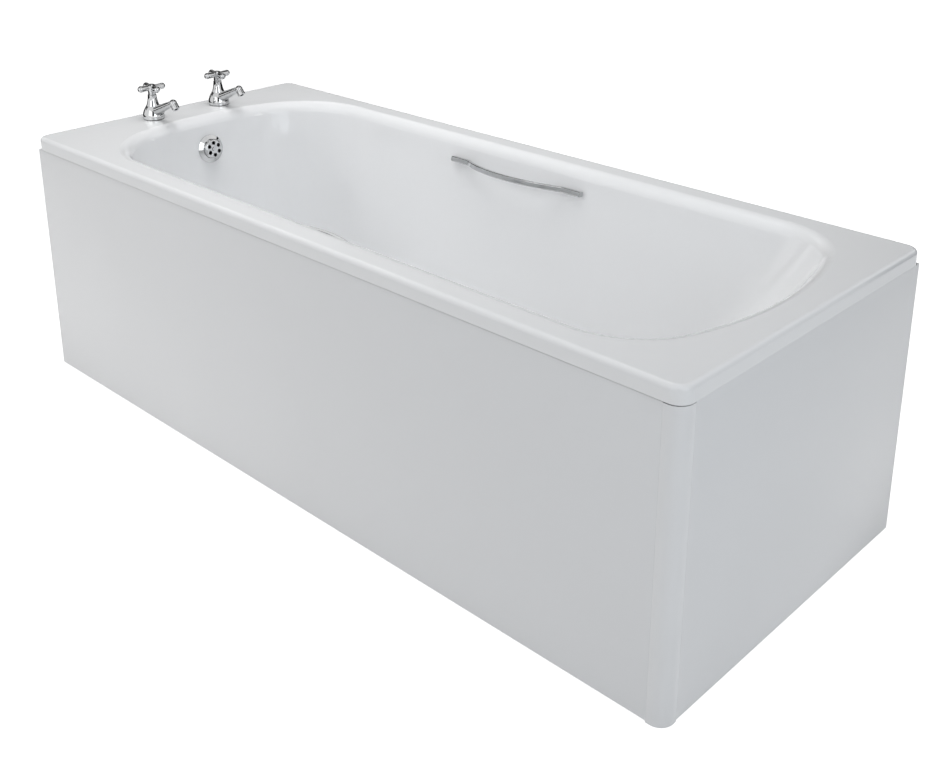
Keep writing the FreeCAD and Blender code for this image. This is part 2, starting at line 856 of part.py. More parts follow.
def legs():
    """Two rails on four weld studs, with a levelling foot at each end."""
    rail_bore = S.rail_stud_radius + S.seat_clearance
    foot_bore = S.foot_stud_radius + S.seat_clearance
    studs = []
    stud_nuts = []
    feet = []
    foot_nuts = []
    pads = []
    for end, place in zip(RAIL_ENDS, RAIL_PLACES):
        leg_rail(end, place)
        for across in (-STUD_HALF, STUD_HALF):
            studs.append(rail_stud(place, across))
            spot = (place, across, WEB_BOTTOM - S.rail_nut_depth)
            stud_nuts.append(hex_nut("rail_nut", S.rail_nut_flats, S.rail_nut_depth, rail_bore, spot))
        for across, bracket in ((-FOOT_HALF, S.bracket_depth), (FOOT_HALF, ZERO)):
            feet.append(foot_stud(place, across))
            pads.append(foot_pad(place, across))
            for level in (WEB_BOTTOM - S.foot_nut_depth, RAIL_TOP + bracket):
                spot = (place, across, level)
                foot_nuts.append(hex_nut("foot_nut", S.foot_nut_flats, S.foot_nut_depth, foot_bore, spot))
    grouped("rail_studs", studs)
    grouped("rail_pads", [rail_pad(place) for place in RAIL_PLACES])
    grouped("rail_nuts", stud_nuts)
    grouped("foot_studs", feet)
    grouped("foot_nuts", foot_nuts)
    grouped("foot_pads", pads)


def sound_pads():
    """Two deadening pads stuck under the floor between the rails."""
    first, last = RAIL_PLACES
    margin = S.rail_width / 2 + S.sound_pad_clear
    length = (last - first - margin * 2 - S.sound_pad_gap) / 2
    half_width = FLOOR_OUTLINE["half"] - S.sound_pad_inset
    pads = []
    for start in (first + margin, last - margin - length):
        corner = (start, -half_width, FLOOR_UNDER - S.sound_pad_depth)
        pads.append(block("sound_pad", (length, half_width * 2, S.sound_pad_depth), corner))
    grouped("sound_pads", pads)


def earth_tag():
    """A drilled tag welded under the deck at the tap end, hanging below the lip."""
    tag_x = -HALF_LENGTH + S.deck_corner
    tag_y = HALF_WIDTH - S.earth_tag_inset
    low = DECK_UNDER - S.earth_tag_drop
    corner = (tag_x, tag_y - S.earth_tag_width / 2, low)
    plate = block("tag_plate", (S.earth_tag_depth, S.earth_tag_width, S.earth_tag_drop), corner)
    start = (tag_x - S.earth_tag_depth, tag_y, low + S.earth_tag_hole_rise)
    hole = cylinder("tag_hole", S.earth_tag_hole, S.earth_tag_depth * 3, start, rotation=ALONG_X)
    node(cut("tag", plate, [hole]), "earth_tag")


# Panels


def panel_screw(face, level, along, depth):
    """A screw driven from behind a panel through a plate of the given depth.

    Front screws point to -Y and end screws to +X, and the head lies on the plate.
    """
    head_back = S.screw_head_depth
    reach = depth + S.screw_bite
    corners = [
        (ZERO, -head_back),
        (S.screw_head_radius, -head_back),
        (S.screw_head_radius, ZERO),
        (S.screw_radius, ZERO),
        (S.screw_radius, reach),
        (ZERO, reach),
    ]
    place, turn = screw_seat(face, level, along, depth)
    return revolved("panel_screw", corners, place, rotation=turn)


def screw_seat(face, level, along, depth):
    """Where a panel screw's head lies, and the turn that points it at the panel."""
    if face == "front":
        return (along, -(PANEL_BACK - depth), level), TO_FRONT
    return (PANEL_END_BACK - depth, along, level), ALONG_X


def screw_hole(face, level, along, depth):
    """The hole that a panel screw bites into, through its plate as well."""
    place, turn = screw_seat(face, level, along, depth)
    length = depth + S.screw_bite
    return cylinder("screw_hole", S.screw_radius + S.seat_clearance, length, place, rotation=turn)


def panel_clip(face, along):
    """A folded clip: one leg behind the panel, one flange under the deck."""
    back = PANEL_BACK if face == "front" else PANEL_END_BACK
    top = DECK_UNDER
    corners = [
        (back - S.clip_depth, top - S.clip_drop),
        (back, top - S.clip_drop),
        (back, top),
        (back - S.clip_flange, top),
        (back - S.clip_flange, top - S.clip_depth),
        (back - S.clip_depth, top - S.clip_depth),
    ]
    if face == "front":
        corners = [(-across, up) for across, up in corners]
        return padded("front_clip", "YZ_Plane", corners, S.clip_width, (along, ZERO, ZERO), middle=True)
    return padded("end_clip", "XZ_Plane", corners, S.clip_width, (ZERO, along, ZERO), middle=True)


def front_bracket(place):
    """A bracket clamped on a rail by the front foot's nut, with a tab behind the front panel."""
    inner = PANEL_BACK - S.bracket_depth
    top = RAIL_TOP + S.bracket_depth
    reach = RAIL_HALF - S.bracket_overlap
    corners = [
        (-PANEL_BACK, top - S.bracket_tab),
        (-inner, top - S.bracket_tab),
        (-inner, RAIL_TOP),
        (-reach, RAIL_TOP),
        (-reach, top),
        (-PANEL_BACK, top),
    ]
    strip = padded("bracket_strip", "YZ_Plane", corners, S.bracket_width, (place, ZERO, ZERO), middle=True)
    bore = S.foot_stud_radius + S.hole_clearance
    hole = cylinder("bracket_hole", bore, S.bracket_tab, (place, -FOOT_HALF, RAIL_TOP - S.bracket_depth))
    return cut("front_bracket", strip, [hole])


def end_stay():
    """A flat stay from the head rail to the end panel."""
    start = RAIL_PLACES[-1] + S.rail_width / 2
    top = RAIL_TOP - S.rail_wall
    low = top - S.stay_tab
    corners = [
        (start, low - S.stay_depth),
        (PANEL_END_BACK - S.stay_depth, low - S.stay_depth),
        (PANEL_END_BACK - S.stay_depth, low - S.stay_drop),
        (PANEL_END_BACK, low - S.stay_drop),
        (PANEL_END_BACK, low),
        (start + S.stay_depth, low),
        (start + S.stay_depth, top),
        (start, top),
    ]
    return padded("stay_strip", "XZ_Plane", corners, S.stay_width, middle=True)


def corner_post():
    """A rounded post between the panels, with a flange behind each of them."""
    front = -PANEL_FRONT
    back = -PANEL_BACK
    flange = back + S.post_flange_depth
    end_flange = PANEL_END_BACK - S.post_flange_depth
    corners = [
        (PANEL_END - S.post_leg, front),
        (PANEL_END - S.post_round, front, S.post_round, "left"),
        (PANEL_END, front + S.post_round),
        (PANEL_END, front + S.post_leg),
        (PANEL_END_BACK, front + S.post_leg),
        (PANEL_END_BACK, front + S.post_leg + S.post_flange),
        (end_flange, front + S.post_leg + S.post_flange),
        (end_flange, flange),
        (PANEL_END - S.post_leg - S.post_flange, flange),
        (PANEL_END - S.post_leg - S.post_flange, back),
        (PANEL_END - S.post_leg, back),
    ]
    height = LIP_BOTTOM - S.post_gap - S.post_rise
    return padded("post", "XY_Plane", corners, height, (ZERO, ZERO, S.post_rise))


def panel_fixings():
    """Every panel screw's face, height, place along the face and plate depth."""
    clip_level = DECK_UNDER - S.clip_drop / 2 - S.lip_depth / 2
    bracket_level = RAIL_TOP - S.bracket_tab / 2
    stay_level = RAIL_TOP - S.rail_wall - S.stay_tab - S.stay_drop / 2
    post_along = PANEL_END - S.post_leg - S.post_flange / 2
    post_across = -(PANEL_FRONT - S.post_leg - S.post_flange / 2)
    clips = [("front", clip_level, along, S.clip_depth) for along in front_clip_places()]
    clips += [("end", clip_level, along, S.clip_depth) for along in end_clip_places()]
    brackets = [("front", bracket_level, place, S.bracket_depth) for place in RAIL_PLACES]
    brackets.append(("end", stay_level, ZERO, S.stay_depth))
    posts = []
    for level in (S.post_screw_low, LIP_BOTTOM - S.post_screw_drop):
        posts.append(("front", level, post_along, S.post_flange_depth))
        posts.append(("end", level, post_across, S.post_flange_depth))
    return {"clips": clips, "brackets": brackets, "posts": posts}


def front_clip_places():
    reach = HALF_LENGTH - S.front_clip_setback
    return (-reach, ZERO, reach)


def end_clip_places():
    reach = HALF_WIDTH - S.end_clip_setback
    return (-reach, reach)


def panels():
    """Front and end panels, the post between them and what holds them."""
    fixings = panel_fixings()
    every = fixings["clips"] + fixings["brackets"] + fixings["posts"]
    front_holes = [screw_hole(*fixing) for fixing in every if fixing[0] == "front"]
    end_holes = [screw_hole(*fixing) for fixing in every if fixing[0] == "end"]
    front_length = PANEL_END * 2 - S.post_leg
    front_board = block(
        "front_board",
        (front_length, S.panel_thickness, PANEL_HEIGHT),
        (-PANEL_END, -PANEL_FRONT, S.panel_rise),
    )
    end_length = PANEL_FRONT * 2 - S.post_leg
    end_board = block(
        "end_board",
        (S.panel_thickness, end_length, PANEL_HEIGHT),
        (PANEL_END_BACK, -PANEL_FRONT + S.post_leg, S.panel_rise),
    )
    node(cut("front_panel_cut", front_board, front_holes), "front_panel")
    node(cut("end_panel_cut", end_board, end_holes), "end_panel")
    post_holes = [screw_hole(*fixing) for fixing in fixings["posts"]]
    node(cut("post_cut", corner_post(), post_holes), "corner_post")
    clips = []
    for face, level, along, depth in fixings["clips"]:
        clips.append(cut("clip", panel_clip(face, along), [screw_hole(face, level, along, depth)]))
    grouped("panel_clips", clips)
    brackets = []
    for place, fixing in zip(RAIL_PLACES, fixings["brackets"]):
        brackets.append(cut("bracket", front_bracket(place), [screw_hole(*fixing)]))
    grouped("panel_brackets", brackets)
    node(cut("stay", end_stay(), [screw_hole(*fixings["brackets"][-1])]), "end_panel_stay")
    grouped("panel_screws", [panel_screw(*fixing) for fixing in every])


# Taps. Heights inside a tap are measured from the deck's top.


def tap_casting():
    """The body's outside: threaded tail with a run-out groove under its nut, round base and dome."""
    base = S.tap_gasket_depth
    groove_top = -(S.sheet + S.tap_washer_depth + S.backnut_depth + S.tail_groove_gap)
    groove_low = groove_top - S.tail_groove_width
    groove = S.tail_radius - S.tail_groove_depth
    corners = [
        (ZERO, -S.tail_length),
        (S.tail_radius, -S.tail_length),
        (S.tail_radius, groove_low),
        (groove, groove_low),
        (groove, groove_top),
        (S.tail_radius, groove_top),
        (S.tail_radius, base),
        (S.tap_base_radius, base),
        (S.tap_base_radius, base + S.tap_base_edge, S.tap_dome, "left"),
        (S.tap_top_radius, S.tap_height),
        (ZERO, S.tap_height),
    ]
    return revolved("casting", corners)


def tap_waterway():
    """The bores inside a tap body: tail, valve seat and valve chamber."""
    seat_low = S.seat_level - S.seat_depth
    below = -S.tail_length - S.seat_depth
    above = S.tap_height + S.seat_depth
    corners = [
        (ZERO, below),
        (S.tail_bore, below),
        (S.tail_bore, seat_low),
        (S.seat_bore, seat_low),
        (S.seat_bore, S.seat_level),
        (S.chamber_radius, S.seat_level),
        (S.chamber_radius, above),
        (ZERO, above),
    ]
    return revolved("waterway", corners)


def tap_body(side, place):
    """A body with its rising spout, elbow and nozzle stub."""
    rise = S.spout_level - S.spout_root_level
    length = root(S.spout_reach * S.spout_reach + rise * rise)
    along = {"axis": (0, 1, 0), "angle": angle_past(1, angle_of(rise, S.spout_reach), "-")}
    down = {"axis": (0, 1, 0), "angle": angle_past(2, plain_angle(S.nozzle_lean), "-")}
    root_spot = (ZERO, ZERO, S.spout_root_level)
    elbow_spot = (S.spout_reach, ZERO, S.spout_level)
    cone = {"Radius1": S.spout_root_radius, "Radius2": S.spout_tip_radius, "Height": length}
    outside = fused(
        f"{side}_outside",
        [
            tap_casting(),
            solid("Cone", "spout", cone, root_spot, **along),
            solid("Sphere", "elbow", {"Radius": S.spout_elbow}, elbow_spot),
            cylinder("stub", S.nozzle_stub_radius, S.nozzle_stub_length, elbow_spot, **down),
        ],
    )
    sleeve_room = ring("sleeve_room", S.nozzle_stub_radius, S.nozzle_radius + S.hole_clearance,
                       S.nozzle_start, S.nozzle_stub_length, elbow_spot, **down)
    cover_room = cylinder("cover_room", S.shroud_base_radius + S.hole_clearance, S.tap_height,
                          (ZERO, ZERO, S.tap_height))
    bores = [
        tap_waterway(),
        cylinder("spout_bore", S.spout_bore, length, root_spot, **along),
        cylinder("nozzle_bore", S.spout_bore, S.nozzle_stub_length * 2, elbow_spot, **down),
        sleeve_room,
        cover_room,
    ]
    node(put(cut(f"{side}_body", outside, bores), place), f"{side}_tap_body")


def tap_nozzle(side, place):
    """A grooved sleeve over the stub, with a turned-in lip below it."""
    inner = S.nozzle_stub_radius + S.seat_clearance
    end = S.nozzle_stub_length
    outer = S.nozzle_radius
    groove = outer - S.nozzle_groove
    width = S.nozzle_groove_width
    first = S.nozzle_start + S.nozzle_groove_spacing
    second = first + S.nozzle_groove_spacing
    low = end + S.nozzle_overhang
    corners = [
        (inner, S.nozzle_start),
        (outer, S.nozzle_start),
        (outer, first),
        (groove, first),
        (groove, first + width),
        (outer, first + width),
        (outer, second),
        (groove, second),
        (groove, second + width),
        (outer, second + width),
        (outer, low),
        (S.spout_bore, low),
        (S.spout_bore, end),
        (inner, end),
    ]
    spot = (place[0] + S.spout_reach, place[1], place[2] + S.spout_level)
    down = {"axis": (0, 1, 0), "angle": angle_past(2, plain_angle(S.nozzle_lean), "-")}
    node(revolved(f"{side}_nozzle", corners, spot, **down), f"{side}_tap_nozzle")


def headwork(side, place):
    """The screwed-in bonnet that guides the valve carrier and the spindle."""
    skirt = S.chamber_radius - S.seat_clearance
    stem_bore = S.spindle_radius + S.running_clearance
    hex_top = S.tap_height + S.headwork_hex_depth
    guide_top = S.headwork_top - S.headwork_cap
    corners = [
        (S.carrier_guide, S.tap_height - S.headwork_skirt),
        (skirt, S.tap_height - S.headwork_skirt),
        (skirt, S.tap_height),
        (S.headwork_hex, S.tap_height),
        (S.headwork_hex, hex_top),
        (S.headwork_neck, hex_top),
        (S.headwork_neck, S.headwork_top),
        (stem_bore, S.headwork_top),
        (stem_bore, guide_top),
        (S.carrier_guide, guide_top),
    ]
    node(revolved(f"{side}_bonnet", corners, place), f"{side}_headwork")


def valve(side, place):
    """The carrier that the spindle's thread lifts, and the washer under it."""
    washer_low = S.seat_level + S.moving_gap
    flange_low = washer_low + S.valve_washer_depth
    flange_top = flange_low + S.carrier_flange_depth
    top = flange_low + S.carrier_length
    inner = S.carrier_radius - S.carrier_wall
    carrier = [
        (ZERO, flange_low),
        (S.carrier_flange, flange_low),
        (S.carrier_flange, flange_top),
        (S.carrier_radius, flange_top),
        (S.carrier_radius, top),
        (inner, top),
        (inner, flange_top),
        (ZERO, flange_top),
    ]
    node(revolved(f"{side}_carrier", carrier, place), f"{side}_valve_carrier")
    washer = cylinder(
        f"{side}_washer", S.carrier_flange, S.valve_washer_depth, (place[0], place[1], place[2] + washer_low)
    )
    node(washer, f"{side}_valve_washer")


def spindle(side, place):
    """The turning spindle: thread, collar under the bonnet's cap, and a drilled top end."""
    collar_top = S.headwork_top - S.headwork_cap - S.moving_gap
    collar_low = collar_top - S.spindle_collar_depth
    low = collar_low - S.spindle_thread_length
    thread = S.carrier_radius - S.carrier_wall - S.moving_gap
    screw = S.handle_screw_radius + S.seat_clearance
    drilled = S.spindle_top - S.handle_screw_length
    corners = [
        (ZERO, low),
        (thread, low),
        (thread, collar_low),
        (S.spindle_collar, collar_low),
        (S.spindle_collar, collar_top),
        (S.spindle_radius, collar_top),
        (S.spindle_radius, S.spindle_top),
        (screw, S.spindle_top),
        (screw, drilled),
        (ZERO, drilled),
    ]
    node(revolved(f"{side}_stem", corners, place), f"{side}_spindle")


def shroud(side, place):
    """The flared cover over the headwork."""
    corners = [
        (S.shroud_base_radius - S.shroud_wall, S.tap_height),
        (S.shroud_base_radius, S.tap_height, S.shroud_flare, "right"),
        (S.shroud_top_radius, S.shroud_top),
        (S.shroud_top_radius - S.shroud_wall, S.shroud_top, S.shroud_flare, "left"),
    ]
    node(revolved(f"{side}_cover", corners, place), f"{side}_shroud")


def handle(side, place):
    """A crosshead with four fat arms, its screw and its plain cap."""
    low = S.shroud_top + S.moving_gap
    hub_low = S.handle_level - S.hub_half_depth
    hub_top = S.handle_level + S.hub_half_depth
    hub = revolved(
        "hub",
        [
            (ZERO, low),
            (S.handle_neck_radius, low),
            (S.handle_neck_radius, hub_low),
            (S.hub_radius, hub_low),
            (S.hub_radius, hub_top - S.cap_seat),
            (S.hub_radius - S.cap_seat, hub_top),
            (ZERO, hub_top),
        ],
    )
    pieces = [hub]
    arm = {"Radius1": S.arm_root_radius, "Radius2": S.arm_tip_radius, "Height": S.arm_reach}
    for number in range(ARMS):
        around = FreeCAD.Rotation(FreeCAD.Vector(0, 0, 1), number * 360 / ARMS)
        direction = around.multVec(FreeCAD.Vector(1, 0, 0))
        spot = (direction.x * S.arm_reach, direction.y * S.arm_reach, S.handle_level)
        middle = (ZERO, ZERO, S.handle_level)
        pieces.append(solid("Cone", "arm", arm, middle, rotation=around.multiply(ALONG_X)))
        pieces.append(solid("Sphere", "arm_end", {"Radius": S.arm_tip_radius}, spot))
    socket_top = S.spindle_top + S.seat_clearance
    bores = [
        cylinder("socket", S.spindle_radius + S.seat_clearance, socket_top - low + S.hub_half_depth,
                 (ZERO, ZERO, low - S.hub_half_depth)),
        cylinder("screw_way", S.handle_screw_radius + S.seat_clearance, S.hub_half_depth * 3,
                 (ZERO, ZERO, S.handle_level - S.hub_half_depth)),
        cylinder("cap_recess", S.cap_radius + S.seat_clearance, S.hub_half_depth,
                 (ZERO, ZERO, hub_top - S.cap_seat)),
        cylinder("head_recess", S.handle_screw_head + S.hole_clearance, S.hub_half_depth,
                 (ZERO, ZERO, hub_top - S.cap_seat - S.handle_screw_head_depth)),
    ]
    crosshead = cut(f"{side}_crosshead", fused(f"{side}_arms", pieces), bores)
    put(crosshead, place, axis=(0, 0, 1), angle=plain_angle(S.handle_angle))
    node(crosshead, f"{side}_handle")
    head_low = hub_top - S.cap_seat - S.handle_screw_head_depth
    screw_low = S.spindle_top - S.handle_screw_length + S.moving_gap
    screw = [
        (ZERO, screw_low),
        (S.handle_screw_radius, screw_low),
        (S.handle_screw_radius, head_low),
        (S.handle_screw_head, head_low),
        (S.handle_screw_head, head_low + S.handle_screw_head_depth),
        (ZERO, head_low + S.handle_screw_head_depth),
    ]
    node(revolved(f"{side}_screw", screw, place), f"{side}_handle_screw")
    cap_low = hub_top - S.cap_seat
    cap_edge = hub_top
    cap = [
        (ZERO, cap_low),
        (S.cap_radius, cap_low),
        (S.cap_radius, cap_edge),
        (S.cap_radius - S.cap_rise, cap_edge + S.cap_rise),
        (ZERO, cap_edge + S.cap_rise),
    ]
    node(revolved(f"{side}_cap", cap, place), f"{side}_index_cap")


def ring(name, inner, outer, low, depth, place, **turn):
    """A flat ring about the local Z axis."""
    corners = [(inner, low), (outer, low), (outer, low + depth), (inner, low + depth)]
    return revolved(name, corners, place, **turn)


def taps():
    gaskets = []
    washers = []
    backnuts = []
    tail_hole = S.tail_radius + S.seat_clearance
    for side, across in TAP_SIDES.items():
        place = (TAP_X, across, S.rim_height)
        tap_body(side, place)
        tap_nozzle(side, place)
        headwork(side, place)
        valve(side, place)
        spindle(side, place)
        shroud(side, place)
        handle(side, place)
        gasket_edge = S.tap_base_radius - S.tap_gasket_margin
        gaskets.append(ring("tap_gasket", tail_hole, gasket_edge, ZERO, S.tap_gasket_depth, place))
        washer_low = -S.sheet - S.tap_washer_depth
        washer_edge = S.tap_washer_radius
        washers.append(ring("tap_washer", tail_hole, washer_edge, washer_low, S.tap_washer_depth, place))
        nut_place = (TAP_X, across, S.rim_height + washer_low - S.backnut_depth)
        backnuts.append(hex_nut("backnut", S.backnut_flats, S.backnut_depth, tail_hole, nut_place))
    grouped("tap_gaskets", gaskets)
    grouped("tap_washers", washers)
    grouped("tap_backnuts", backnuts)


# Overflow. Distances along its axis are measured from the basin wall into the basin.


def overflow_seat():
    """How far the rose stands off the middle of the bowed wall, so that its edge rests on it."""
    return S.overflow_flange * S.overflow_flange / (2 * (S.end_bow - S.overflow_flange)) + S.seat_clearance


def overflow_rose():
    """A dished flange with a raised, drilled face."""
    round_start = S.overflow_face - S.overflow_face_round
    corners = [
        (S.overflow_bore, ZERO),
        (S.overflow_flange, ZERO),
        (S.overflow_flange, S.overflow_flange_edge),
        (S.overflow_face, S.overflow_flange_rise),
        (S.overflow_face, S.overflow_face_rise - S.overflow_face_round, S.overflow_face_round, "left"),
        (round_start, S.overflow_face_rise),
        (ZERO, S.overflow_face_rise),
        (ZERO, S.overflow_face_rise - S.overflow_wall),
        (S.overflow_bore, S.overflow_face_rise - S.overflow_wall),
    ]
    plain = revolved("rose", corners)
    screw_way = S.overflow_screw_radius + S.seat_clearance
    holes = [cylinder("rose_screw_hole", screw_way, S.overflow_face_rise * 2)]
    for number in range(OVERFLOW_HOLES):
        around = 2 * math.pi * number / OVERFLOW_HOLES
        spot = (math.cos(around) * S.overflow_hole_circle, math.sin(around) * S.overflow_hole_circle, ZERO)
        holes.append(cylinder("rose_hole", S.overflow_hole, S.overflow_face_rise * 2, spot))
    rose = cut("rose_cut", plain, holes)
    node(put(rose, overflow_point(overflow_seat()), **OVERFLOW_TURN), "overflow_rose")


def elbow_front():
    """Where the elbow's flange lies behind the wall, on the overflow's axis."""
    return -(S.sheet + S.overflow_seal_depth)


def overflow_screw():
    """The centre screw, from the rose's face to the bridge inside the elbow."""
    face = overflow_seat() + S.overflow_face_rise
    bridge = elbow_front() - S.overflow_back_depth - S.overflow_bridge
    corners = [
        (ZERO, bridge),
        (S.overflow_screw_radius, bridge),
        (S.overflow_screw_radius, face),
        (S.overflow_screw_head, face),
        (S.overflow_screw_head, face + S.overflow_screw_head_depth),
        (ZERO, face + S.overflow_screw_head_depth),
    ]
    node(revolved("rose_screw", corners, overflow_point(ZERO), **OVERFLOW_TURN), "overflow_screw")


def overflow_seal(outside):
    """A thick soft ring between the wall and the elbow, shaped to the bowed wall."""
    bore = S.overflow_bore + S.seat_clearance
    depth = S.overflow_seal_depth + S.sheet
    start = overflow_point(elbow_front())
    plain = ring("seal_ring", bore, S.overflow_back_flange, ZERO, depth, start, **OVERFLOW_TURN)
    node(cut("seal_cut", plain, [outside]), "overflow_seal")


def spigot_axis():
    """The upright axis of the overflow pipe."""
    return overflow_point(elbow_front() - S.overflow_barrel_length / 2)[0]


def overflow_elbow():
    """A flanged barrel behind the wall, with a bridge for the screw and a spigot pointing down."""
    front = elbow_front()
    barrel_end = front - S.overflow_barrel_length
    spigot_x = spigot_axis()
    middle_z = overflow_point(front - S.overflow_barrel_length / 2)[2]
    spigot_low = middle_z - S.overflow_barrel - S.spigot_length
    spigot_spot = (spigot_x, ZERO, spigot_low)
    inner = S.overflow_barrel - S.overflow_wall
    outside = fused(
        "elbow_outside",
        [
            cylinder("elbow_flange", S.overflow_back_flange, S.overflow_back_depth,
                     overflow_point(front - S.overflow_back_depth), **OVERFLOW_TURN),
            cylinder("elbow_barrel", S.overflow_barrel, S.overflow_barrel_length,
                     overflow_point(barrel_end), **OVERFLOW_TURN),
            cylinder("elbow_spigot", S.spigot_radius, S.overflow_barrel + S.spigot_length, spigot_spot),
        ],
    )
    space_start = overflow_point(barrel_end + S.overflow_wall)
    hollow = [
        cylinder("barrel_space", inner, S.overflow_barrel_length, space_start, **OVERFLOW_TURN),
        cylinder("spigot_space", S.spigot_bore, S.overflow_barrel + S.spigot_length, spigot_spot),
    ]
    shell = cut("elbow_shell", outside, hollow)
    bridge_start = front - S.overflow_back_depth - S.overflow_bridge
    bar = padded(
        "bridge_bar",
        "XY_Plane",
        box_corners(-S.overflow_bridge, S.overflow_bridge, -inner, inner),
        S.overflow_bridge,
        overflow_point(bridge_start),
        holes=[(ZERO, ZERO, S.overflow_screw_radius + S.seat_clearance)],
        **OVERFLOW_TURN,
    )
    node(fused("elbow", [shell, bar]), "overflow_elbow")
    return spigot_low


def pipe_run(name, radius, top, low, end):
    """An upright run, a quarter bend and a level run, as one round rod."""
    axis_x = spigot_axis()
    bend_top = low + S.pipe_bend
    quarter = TO_FRONT.multiply(FreeCAD.Rotation(FreeCAD.Vector(0, 0, 1), 2 * RIGHT_ANGLE))
    bend = {"Radius1": S.pipe_bend, "Radius2": radius, "Angle3": as_dim(RIGHT_ANGLE)}
    bend_x = axis_x + S.pipe_bend
    return fused(
        name,
        [
            cylinder(f"{name}_upright", radius, top - bend_top, (axis_x, ZERO, bend_top)),
            solid("Torus", f"{name}_bend", bend, (bend_x, ZERO, bend_top), rotation=quarter),
            cylinder(f"{name}_level", radius, end - bend_x, (bend_x, ZERO, low), rotation=ALONG_X),
        ],
    )


def inlet_level():
    return FLOOR - S.waste_inlet_drop


def inlet_end():
    """Where the waste body's side spigot ends."""
    return WASTE_X - S.waste_cup - S.spigot_length


def overflow_pipe(spigot_low):
    """The pipe from the elbow to the waste body, pushed over both spigots, and its clips."""
    inner = S.spigot_radius + S.seat_clearance
    outer = inner + S.pipe_wall
    top = spigot_low + S.pipe_lap
    end = inlet_end() + S.pipe_lap
    outside = pipe_run("pipe_outside", outer, top, inlet_level(), end)
    inside = pipe_run("pipe_inside", inner, top, inlet_level(), end)
    node(cut("pipe", outside, [inside]), "overflow_pipe")
    clip_inner = outer + S.seat_clearance
    clip_outer = clip_inner + S.pipe_clip_depth
    lap = (S.pipe_lap - S.pipe_clip_width) / 2
    clips = [
        ring("upper_clip", clip_inner, clip_outer, lap, S.pipe_clip_width, (spigot_axis(), ZERO, spigot_low)),
        ring("lower_clip", clip_inner, clip_outer, lap, S.pipe_clip_width,
             (inlet_end(), ZERO, inlet_level()), rotation=ALONG_X),
    ]
    grouped("pipe_clips", clips)


def overflow(outside):
    overflow_rose()
    overflow_screw()
    overflow_seal(outside)
    overflow_pipe(overflow_elbow())


# Waste. Heights are measured from the basin floor.

WASTE_SPOT = (WASTE_X, ZERO, FLOOR)


def waste_flange():
    """The chrome flange with its throat, and a spider that guides the plug's stem."""
    seat = S.waste_seal_depth
    top = seat + S.waste_flange_depth
    inner = S.waste_throat - S.waste_throat_wall
    low = -S.waste_throat_length
    corners = [
        (inner, low),
        (S.waste_throat, low),
        (S.waste_throat, seat),
        (S.waste_flange, seat),
        (S.waste_flange, seat + S.waste_flange_depth / 2),
        (S.waste_flange - S.waste_flange_depth, top),
        (inner, top),
    ]
    throat = revolved("throat", corners)
    boss = cylinder("spider_boss", S.waste_boss, S.waste_spider_depth, (ZERO, ZERO, low))
    pieces = [throat, boss]
    for number in range(SPIDER_ARMS):
        turn = FreeCAD.Rotation(FreeCAD.Vector(0, 0, 1), number * 360 / SPIDER_ARMS)
        half = S.waste_spider_width / 2
        reach = S.waste_throat - S.waste_throat_wall / 2
        corners = box_corners(ZERO, reach, -half, half)
        spot = (ZERO, ZERO, low)
        pieces.append(padded("spider_arm", "XY_Plane", corners, S.waste_spider_depth, spot, rotation=turn))
    stem_hole = cylinder("stem_hole", S.plug_stem_radius + S.running_clearance, S.waste_throat_length,
                         (ZERO, ZERO, low - S.waste_spider_depth))
    node(put(cut("flange", fused("flange_solid", pieces), [stem_hole]), WASTE_SPOT), "waste_flange")


def waste_body():
    """The cup under the floor, with a threaded tail below and a side spigot for the overflow."""
    top = -S.sheet - S.waste_gasket_depth
    flange_low = top - S.waste_body_flange_depth
    cup_low = top - S.waste_cup_depth
    tail_low = cup_low - S.waste_tail_length
    inner = S.waste_cup - S.waste_cup_wall
    collar = S.waste_throat + S.seat_clearance
    corners = [
        (S.waste_tail_bore, tail_low),
        (S.waste_tail, tail_low),
        (S.waste_tail, cup_low),
        (S.waste_cup, cup_low + S.waste_cup_wall * 2),
        (S.waste_cup, flange_low),
        (S.waste_body_flange, flange_low),
        (S.waste_body_flange, top),
        (collar, top),
        (collar, flange_low - S.waste_cup_wall),
        (inner, flange_low - S.waste_cup_wall),
        (inner, cup_low + S.waste_cup_wall * 2),
        (S.waste_tail_bore, cup_low + S.waste_cup_wall),
    ]
    cup = revolved("cup", corners)
    level = -S.waste_inlet_drop
    away = FreeCAD.Rotation(FreeCAD.Vector(0, 1, 0), -RIGHT_ANGLE)
    start = -(inner + S.waste_cup_wall / 2)
    length = S.spigot_length + S.waste_cup_wall / 2
    spigot = cylinder("inlet_spigot", S.spigot_radius, length, (start, ZERO, level), rotation=away)
    bore_start = (start + S.waste_cup / 2, ZERO, level)
    bore = cylinder("inlet_bore", S.spigot_bore, length * 2, bore_start, rotation=away)
    cup_solid = fused("cup_solid", [cup, spigot])
    node(put(cut("waste_cup", cup_solid, [bore]), WASTE_SPOT), "waste_body")


def plug():
    """A domed cap with its seal and a stem that slides in the spider."""
    low = PLUG_TOP - FLOOR
    cap_low = low + S.plug_seal_depth
    edge = cap_low + S.plug_edge
    sag = S.plug_dome - root(S.plug_dome * S.plug_dome - S.plug_radius * S.plug_radius)
    cap = [
        (ZERO, cap_low),
        (S.plug_radius, cap_low),
        (S.plug_radius, edge, S.plug_dome, "left"),
        (ZERO, edge + sag),
    ]
    node(revolved("cap", cap, WASTE_SPOT), "plug_cap")
    node(ring("seal", S.plug_seal_inner, S.plug_seal_radius, low, S.plug_seal_depth, WASTE_SPOT), "plug_seal")
    stem_spot = (WASTE_X, ZERO, FLOOR + cap_low - S.plug_stem_length)
    node(cylinder("stem", S.plug_stem_radius, S.plug_stem_length, stem_spot), "plug_stem")


